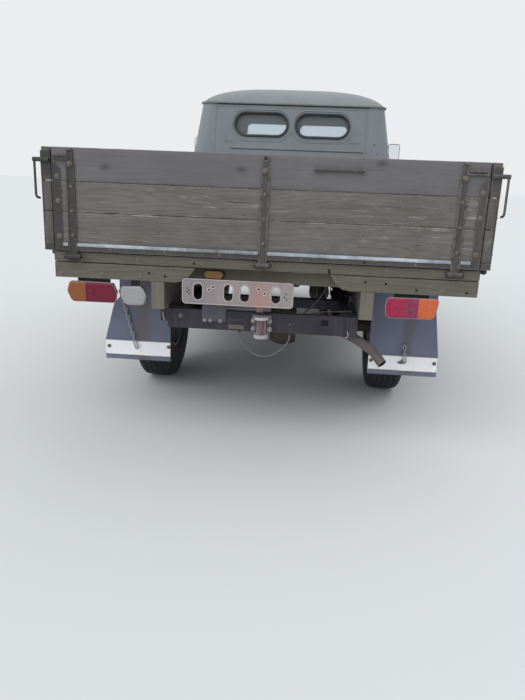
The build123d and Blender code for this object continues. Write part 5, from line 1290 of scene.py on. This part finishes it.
# Head lamps and turn lamps: a domed pressed-glass lens with upright ribs over a bright bowl and a
# bulb, held by a plated rim; the turn lamps are small amber domes on black rings.
plated = painted(
    "plated_rim", (0.46, 0.46, 0.46), (0.56, 0.56, 0.56), (0.30, 0.28, 0.25), gloss=0.22, dustiness=0.4,
    rub=0.0, rusting=0.1, relief=0.0004,
)
plated.node_tree.nodes["Principled BSDF"].inputs["Metallic"].default_value = 0.9
head_glass = clear_glass("head_lamp_glass", (0.93, 0.95, 0.96), 0.06, 0.94)
front_lights, head_lenses = bmesh.new(), bmesh.new()
rim_line = [
    (0.0, 0.0), (0.0, 0.070), (0.050, 0.094), (0.112, 0.0965), (0.128, 0.0965), (0.1345, 0.0925),
    (0.1350, 0.0885), (0.1290, 0.0870), (0.115, 0.080), (0.095, 0.062), (0.082, 0.036), (0.078, 0.0),
]
bulb = [(0.0, 0.014), (0.020, 0.014), (0.022, 0.009), (0.040, 0.009), (0.046, 0.0)]
lens_edge, lens_steps = 0.0882, 22
lens_line = [
    (0.1300 + 0.0305 * (1 - (r / lens_edge) ** 2), r)
    for r in [lens_edge * (1 - k / lens_steps) for k in range(lens_steps)]
]
lens_foot = [(0.1270, 0.0), (lens_line[0][0] - 0.003, lens_edge * 0.985)]
blinker_ring = [(0.0, 0.0), (0.0, 0.036), (0.060, 0.036), (0.064, 0.033), (0.064, 0.0)]
blinker = [(0.0, 0.0), (0.0, 0.032)]
blinker += [(0.012 * math.sin(a) + 0.006, 0.032 * math.cos(a)) for a in (0.0, 0.3, 0.6, 0.9, 1.2)]
blinker += [(0.018, 0.0)]
for side in (-1, 1):
    at = (side * 0.625, 2.020, 0.985)
    turned(front_lights, rim_line, at, FORWARD, 56)
    turned(front_lights, bulb, (at[0], 2.098, at[2]), FORWARD, 16)
    dome = turned(head_lenses, lens_foot + lens_line + [(0.1605, 0.0)], at, FORWARD, 72)
    for vert in {vert for face in dome for vert in face.verts}:
        if vert.co.y > 2.1495:
            vert.co.y += 0.0007 * math.cos(2 * math.pi * vert.co.x / 0.011)
    turned(front_lights, blinker_ring, (side * 0.690, 2.056, 1.150), FORWARD, 30, 2)
    turned(front_lights, blinker, (side * 0.690, 2.119, 1.150), FORWARD, 30, 1)
piece_of(
    "front_lights", front_lights, [plated, lens_finishes[2], black_paint], "root", 40,
    "front_lamps",
)
piece_of("head_lenses", head_lenses, [head_glass], "root", 40)


# Cab fittings: black rubber seals that follow the cab's skin round every window, two wipers, plated
# door handles, mirror glass, and bolts through the grille's frame.
bpy.context.view_layer.update()


def skin_of(mesh, where=Matrix()):
    """The surface of a mesh at a place, to find where a line meets it."""
    return BVHTree.FromPolygons(
        [where @ vert.co for vert in mesh.vertices], [face.vertices for face in mesh.polygons],
    )


def skin_of_node(name):
    return skin_of(cad_nodes[name].data, cad_nodes[name].matrix_world)


def along_outline(corners, radius, step=0.03):
    """A closed outline with round corners and points close enough to follow a curved skin."""
    outline = round_corners(corners, radius, 6)
    points = []
    for k, first in enumerate(outline):
        second = outline[(k + 1) % len(outline)]
        cuts = max(1, round(math.dist(first, second) / step))
        points += [tuple(first[i] + (second[i] - first[i]) * c / cuts for i in (0, 1)) for c in range(cuts)]
    return points


def meets(skin, start, toward):
    """Where a straight line from a start meets the surface, or nothing."""
    return skin.ray_cast(Vector(start), Vector(toward))[0]


shell_skin = skin_of_node("cab_shell")
glass_skin = skin_of_node("cab_glass")
fittings = bmesh.new()
for side in (-1, 1):
    corners = [(side * x, z) for x, z in ((0.024, 1.322), (0.600, 1.322), (0.532, 1.850), (0.024, 1.850))]
    hits = [meets(shell_skin, (x, 2.5, z), BACKWARD) for x, z in along_outline(corners, 0.056)]
    line = [hit + Vector((0, 0.002, 0)) for hit in hits if hit and hit.y > 1.85]
    bent_rod(fittings, line + [line[0]], 0.008, 8)
    pivot = meets(shell_skin, (side * 0.400, 2.5, 1.300), BACKWARD)
    turned(fittings, [(-0.004, 0.013), (0.010, 0.013), (0.014, 0.009), (0.020, 0.0)], pivot, FORWARD, 16, 1)
    blade = []
    for k in range(9):
        hit = meets(glass_skin, (side * (0.10 + 0.047 * k), 2.5, 1.352 + 0.001 * k), BACKWARD)
        blade.append(hit + Vector((0, 0.006, 0)))
    bent_rod(fittings, blade, 0.0042, 6)
    bent_rod(fittings, [spot + Vector((0, 0.007, 0.001)) for spot in blade[1:8]], 0.003, 6, 1)
    bent_rod(
        fittings,
        [
            pivot + Vector((0, 0.012, 0)), pivot + Vector((-side * 0.04, 0.018, 0.030)),
            blade[4] + Vector((0, 0.011, 0.002)),
        ],
        0.0036, 8, 1,
    )
    for z in (0.775, 1.075):
        for x in (0.130, 0.372):
            domed_bolt(fittings, (side * x, 2.1398, z), FORWARD, 0.006, 0.0035, 0.010, 2)
    glass_line = round_corners(corners_of((side * 0.970, 1.486), (side * 1.080, 1.674)), 0.010)
    cut_plate(fittings, glass_line, 1.8788, 1.8804, 0.0005, 3)
    name = "left" if side < 0 else "right"
    door_skin = skin_of_node(f"door_{name}")
    door_bits = bmesh.new()
    corners = [(1.067, 1.292), (1.744, 1.292), (1.724, 1.562), (1.646, 1.793), (1.067, 1.793)]
    line = []
    for y, z in along_outline(corners, 0.052):
        hit = meets(door_skin, (side * 1.5, y, z), (-side, 0, 0))
        if hit:
            line.append(hit + Vector((side * 0.002, 0, 0)))
    bent_rod(door_bits, line + [line[0]], 0.0075, 8)
    root_spot = meets(door_skin, (side * 1.5, 1.060, 1.205), (-side, 0, 0))
    turned(
        door_bits,
        [(-0.003, 0.021), (0.004, 0.021), (0.007, 0.017), (0.010, 0.010), (0.034, 0.009), (0.036, 0.0)],
        root_spot, (side, 0, 0), 20, 1,
    )
    lever = [
        root_spot + Vector((side * out, y, z))
        for out, y, z in (
            (0.029, 0.0, 0.0), (0.033, 0.018, -0.001), (0.034, 0.060, -0.004), (0.032, 0.105, -0.008),
            (0.026, 0.118, -0.009),
        )
    ]
    bent_rod(door_bits, lever, 0.0068, 10, 1)
    lock = meets(door_skin, (side * 1.5, 1.062, 1.150), (-side, 0, 0))
    turned(
        door_bits, [(-0.002, 0.011), (0.003, 0.011), (0.005, 0.008), (0.003, 0.007), (0.003, 0.0)], lock,
        (side, 0, 0), 18, 1,
    )
    piece_of(f"door_fittings_{name}", door_bits, [seal_rubber, plated], f"cab_door_{name}")
mirror_face = painted(
    "mirror_face", (0.80, 0.82, 0.84), (0.85, 0.86, 0.88), (0.5, 0.48, 0.45), gloss=0.05, dustiness=0.1,
    streaks=0.0, rub=0.0, relief=0.0001,
)
mirror_face.node_tree.nodes["Principled BSDF"].inputs["Metallic"].default_value = 1.0
piece_of(
    "cab_fittings", fittings, [seal_rubber, black_paint, bolt_steel, mirror_face], "root",
)


# Seats: two foam cushions and two backs in dark brown leathercloth. Each is blown up as cloth from a
# slightly smaller box that stays flat where it rests, with two sewn channels and piping round its face.
def stuffed_mesh(name, width, depth, height, seams):
    """A cushion's mesh, about the middle of its resting side."""
    box = bmesh.new()
    bmesh.ops.create_cube(box, size=1)
    bmesh.ops.subdivide_edges(box, edges=box.edges[:], cuts=23, use_grid_fill=True)
    half = Vector((width / 2 - 0.008, depth / 2 - 0.008, height / 2 - 0.008))
    for vert in box.verts:
        flat = Vector([2 * vert.co[axis] * half[axis] for axis in range(3)])
        core = Vector([max(-half[axis] + 0.024, min(half[axis] - 0.024, flat[axis])) for axis in range(3)])
        out = flat - core
        near = core + out.normalized() * 0.024 if out.length > 1e-6 else flat
        near.x *= 1 - 0.03 * (1 - (2 * vert.co.y) ** 2)
        near.y *= 1 - 0.03 * (1 - (2 * vert.co.x) ** 2)
        near.z += half.z
        vert.co = near
    start = mesh_of(name + "_start", box, [])
    thing = in_scene(name + "_start", start)
    remesh = thing.modifiers.new("even", "REMESH")
    remesh.mode = "VOXEL"
    remesh.voxel_size = 0.009
    evaluated = thing.evaluated_get(bpy.context.evaluated_depsgraph_get())
    thing_mesh = bpy.data.meshes.new_from_object(evaluated)
    thing.modifiers.clear()
    thing.data = thing_mesh
    rest = [vert.co.copy() for vert in thing_mesh.vertices]
    resting = thing.vertex_groups.new(name="resting")
    resting.add([k for k, spot in enumerate(rest) if spot.z < 0.006], 1.0, "REPLACE")
    swell = thing.modifiers.new("swell", "CLOTH")
    swell.settings.quality = 6
    swell.settings.use_pressure = True
    swell.settings.uniform_pressure_force = 4
    swell.settings.effector_weights.gravity = 0
    swell.settings.vertex_group_mass = "resting"
    swell.point_cache.frame_start = 1
    swell.point_cache.frame_end = 20
    for number in range(1, 21):
        bpy.context.scene.frame_set(number)
    swelled = thing.evaluated_get(bpy.context.evaluated_depsgraph_get()).to_mesh()
    for vert, before, after in zip(
        thing_mesh.vertices, rest, [vert.co.copy() for vert in swelled.vertices],
    ):
        move = after - before
        sideways = Vector((move.x, move.y, 0))
        sideways *= min(1.0, 0.009 / max(sideways.length, 1e-9))
        vert.co = before + sideways + Vector((0, 0, max(-0.004, min(0.024, move.z))))
    thing.modifiers.clear()
    bpy.context.scene.frame_set(1)
    finer = thing.modifiers.new("finer", "SUBSURF")
    finer.levels = 1
    finer.render_levels = 1
    evaluated = thing.evaluated_get(bpy.context.evaluated_depsgraph_get())
    done = bpy.data.meshes.new_from_object(evaluated)
    bpy.data.objects.remove(thing)
    done.name = name
    for vert in done.vertices:
        if vert.co.z > height * 0.55:
            for seam in seams:
                vert.co.z -= 0.008 * math.exp(-(((vert.co.x - seam) / 0.0065) ** 2))
    done.shade_smooth()
    return done


leathercloth = painted(
    "seat_leathercloth", (0.050, 0.036, 0.028), (0.085, 0.066, 0.054), (0.16, 0.14, 0.12), fading=0.8,
    dustiness=0.4, streaks=0.0, low_dirt=0.0, gloss=0.38, rub=0.0, relief=0.0009,
)
for kind, depth, height, place_at, lean in (
    ("seat_base", 0.440, 0.130, (1.120, 0.863), 0.0), ("seat_back", 0.520, 0.110, (0.790, 1.163), -90.0),
):
    pad = stuffed_mesh(kind, 0.430, depth, height, (-0.072, 0.072))
    pad.materials.append(leathercloth)
    pad_skin = skin_of(pad)
    line = []
    for x, y in along_outline(corners_of((-0.3, -0.35), (0.3, 0.35)), 0.06, 0.02):
        line.append(meets(pad_skin, (x, y, height - 0.026), (-x, -y, 0)))
    piping = bmesh.new()
    bent_rod(piping, line + [line[0]], 0.0042, 8)
    piping_mesh = mesh_of(kind + "_piping", piping, [black_paint])
    piping_mesh.shade_smooth()
    for side, name in ((-1, "left"), (1, "right")):
        for mesh, what in ((pad, "pad"), (piping_mesh, "piping")):
            made = in_scene(f"{kind}_{what}_{name}", mesh)
            made.location = (side * 0.525, *place_at)
            made.rotation_euler = (math.radians(lean), 0, 0)
            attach(made, "root")
            if what == "pad":
                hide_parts("seats")


# Controls in the cab: three plain dials with bare faces before the driver, two gear levers in rubber
# boots on the engine cover, and a row of knobs.
controls = bmesh.new()
dash_skin = skin_of_node("dashboard")
for x, radius in ((-0.605, 0.030), (-0.520, 0.046), (-0.435, 0.030)):
    hit = meets(dash_skin, (x, 1.2, 1.200), FORWARD)
    turned(
        controls,
        [(-0.002, radius), (0.007, radius), (0.008, radius - 0.004), (0.003, radius - 0.006), (0.003, 0.0)],
        hit, BACKWARD, 30,
    )
    turned(
        controls, [(0.0, radius - 0.007), (0.0005, radius - 0.007), (0.0005, 0.0)],
        hit - Vector((0, 0.0035, 0)), BACKWARD, 26, 1,
    )
    bent_rod(
        controls, [hit - Vector((0, 0.0055, 0)), hit + Vector((radius * 0.45, -0.0055, radius * 0.4))],
        0.0011, 6, 2,
    )
for x in (-0.250, -0.190, -0.130, 0.130):
    hit = meets(dash_skin, (x, 1.2, 1.190), FORWARD)
    turned(
        controls,
        [(-0.002, 0.006), (0.012, 0.006), (0.013, 0.011), (0.022, 0.012), (0.026, 0.009), (0.027, 0.0)],
        hit, BACKWARD, 18,
    )
cover_skin = skin_of_node("engine_cover")
for x, y, reach in ((-0.170, 1.420, 0.26), (-0.120, 1.330, 0.17)):
    foot = meets(cover_skin, (x, y, 1.5), DOWNWARD)
    boot = [
        (-0.002, 0.052), (0.006, 0.050), (0.012, 0.040), (0.020, 0.041), (0.026, 0.031), (0.034, 0.032),
        (0.040, 0.022), (0.050, 0.012), (0.056, 0.0),
    ]
    turned(controls, boot, foot, UPWARD, 24)
    top_end = foot + Vector((-0.02, -0.05, reach))
    bent_rod(
        controls, [foot + Vector((0, 0, 0.03)), foot + Vector((-0.004, -0.012, reach * 0.5)), top_end],
        0.0062, 10, 3,
    )
    knob = [(-0.016, 0.008), (-0.010, 0.015), (0.0, 0.018), (0.010, 0.015), (0.016, 0.007), (0.0175, 0.0)]
    turned(controls, knob, top_end, (-0.05, -0.15, 1))
dial_face = painted(
    "dial_face", (0.30, 0.31, 0.31), (0.36, 0.36, 0.36), (0.3, 0.28, 0.25), gloss=0.3, dustiness=0.2,
    streaks=0.0, low_dirt=0.0, rub=0.0,
)
piece_of(
    "cab_controls", controls, [black_paint, dial_face, lens_finishes[1], plated], "root",
)


# Under the truck: forged U-bolts and a clamping plate hold each spring to its axle, and two steel
# bands and a filler cap sit on each fuel tank.
AXLE_Y = (1.190, -1.110)
undersides = bmesh.new()
spring_skin = skin_of_node("leaf_springs")
tank_skin = skin_of_node("fuel_tanks")
for axle in AXLE_Y:
    for x in (-0.410, 0.410):
        for y in (axle - 0.049, axle + 0.049):
            over = meets(spring_skin, (x, y, 0.9), DOWNWARD).z + 0.006
            legs = [
                (x - 0.0345, y, 0.338), (x - 0.0345, y, over - 0.006), (x - 0.029, y, over), (x, y, over),
            ]
            legs += [(2 * x - a, y, z) for a, b, z in reversed(legs[:-1])]
            bent_rod(undersides, legs, 0.006)
            for foot in (x - 0.0345, x + 0.0345):
                nut(undersides, (foot, y, 0.350), DOWNWARD, 0.019, 0.010, 0.0, 0.0)
        flat_bar(undersides, (x - 0.046, axle - 0.062, 0.350), (x + 0.046, axle + 0.062, 0.358), 0.002)
for side in (-1, 1):
    for y in (-0.320, 0.160):
        ring = []
        for k in range(72):
            angle = 2 * math.pi * k / 72
            out = Vector((math.cos(angle), 0, math.sin(angle)))
            hit = tank_skin.ray_cast(Vector((side * 0.638, y, 0.5375)) + out * 0.6, -out)[0]
            ring.append(
                [
                    undersides.verts.new(hit + out * far + Vector((0, wide, 0)))
                    for far, wide in ((0.0, -0.018), (0.0035, -0.018), (0.0035, 0.018), (0.0, 0.018))
                ]
            )
        quads_between(undersides, ring, 1, True)
    cap_at = meets(tank_skin, (side * 0.770, -0.080, 0.9), DOWNWARD)
    turned(
        undersides,
        [(-0.004, 0.030), (0.018, 0.030), (0.019, 0.037), (0.032, 0.037), (0.036, 0.032), (0.036, 0.0)],
        cap_at, UPWARD, 28, 1,
    )
piece_of("undersides", undersides, [casting_grime, tank_paint], "root")


# Tyres: a fine worn road tread of zigzag ribs cut by cross slits, a scuff rib on each wall and a bead
# that meets the rim. Black rubber, grey with dust towards the ground.
tyre_rubber = painted(
    "tyre_rubber", (0.013, 0.014, 0.017), (0.024, 0.024, 0.027), (0.085, 0.075, 0.065), dustiness=0.15,
    streaks=0.0, low_dirt=0.4, gloss=0.65, rub=0.0, relief=0.0015,
)
WHEEL_X, WHEEL_HEIGHT = 0.721, 0.396
tread_marks = (0.0, 0.04, 0.16, 0.20, 0.50, 0.54, 0.66, 0.70)
half_section = (
    (0.0000, 0.3960, "crown", 0), (0.0060, 0.3960, "crown", 0), (0.0135, 0.3958, "crown", 1),
    (0.0148, 0.3878, "groove", 1), (0.0192, 0.3878, "groove", 1), (0.0205, 0.3956, "mid", 1),
    (0.0330, 0.3950, "mid", 0), (0.0465, 0.3940, "mid", -1), (0.0478, 0.3862, "groove", -1),
    (0.0522, 0.3860, "groove", -1), (0.0535, 0.3934, "edge", -1), (0.0670, 0.3922, "edge", 0),
    (0.0780, 0.3900, "edge", 0), (0.0870, 0.3830, "edge", 0), (0.0950, 0.3725, "edge", 0),
    (0.0980, 0.3640, "edge", 0), (0.0996, 0.3540, "wall", 0), (0.1026, 0.3520, "wall", 0),
    (0.1034, 0.3470, "wall", 0), (0.1022, 0.3440, "wall", 0), (0.1050, 0.3250, "wall", 0),
    (0.1066, 0.2950, "wall", 0), (0.1052, 0.2650, "wall", 0), (0.1016, 0.2420, "wall", 0),
    (0.1030, 0.2390, "wall", 0), (0.1018, 0.2350, "wall", 0), (0.0960, 0.2200, "wall", 0),
    (0.0900, 0.2080, "wall", 0), (0.0880, 0.2060, "wall", 0), (0.0835, 0.1960, "wall", 0),
    (0.0780, 0.1908, "wall", 0),
)
section = [(-x, r, lane, -zig) for x, r, lane, zig in reversed(half_section[1:])] + list(half_section)
pitches = 56
tread = bmesh.new()
rings = []
for pitch in range(pitches):
    for mark in tread_marks:
        ring = []
        for x, radius, lane, zig in section:
            sway = zig * 0.0028 * (4 * abs(mark - 0.5) - 1)
            turn_by = 0.30 * min(abs(x), 0.08) / 0.08
            if (lane == "mid" and 0.03 < mark < 0.17) or (lane == "crown" and 0.53 < mark < 0.67):
                radius -= 0.0055
            if lane == "edge" and 0.53 < mark < 0.67:
                radius -= 0.0075
            angle = 2 * math.pi * (pitch + mark + turn_by) / pitches
            ring.append(tread.verts.new((x + sway, radius * math.cos(angle), radius * math.sin(angle))))
        rings.append(ring)
quads_between(tread, rings, around=True)
bmesh.ops.recalc_face_normals(tread, faces=tread.faces)
tread_mesh = mesh_of("treaded_tyre", tread, [tyre_rubber])
tread_mesh.shade_smooth()
tread_mesh.set_sharp_from_angle(angle=math.radians(35))
for end, y in zip(("front", "rear"), AXLE_Y):
    for side, x in (("left", -WHEEL_X), ("right", WHEEL_X)):
        treaded = in_scene(f"treaded_tyre_{end}_{side}", tread_mesh)
        treaded.location = (x, y, WHEEL_HEIGHT)
        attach(treaded, f"wheel_{end}_{side}")
        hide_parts(f"tyre_{end}_{side}")
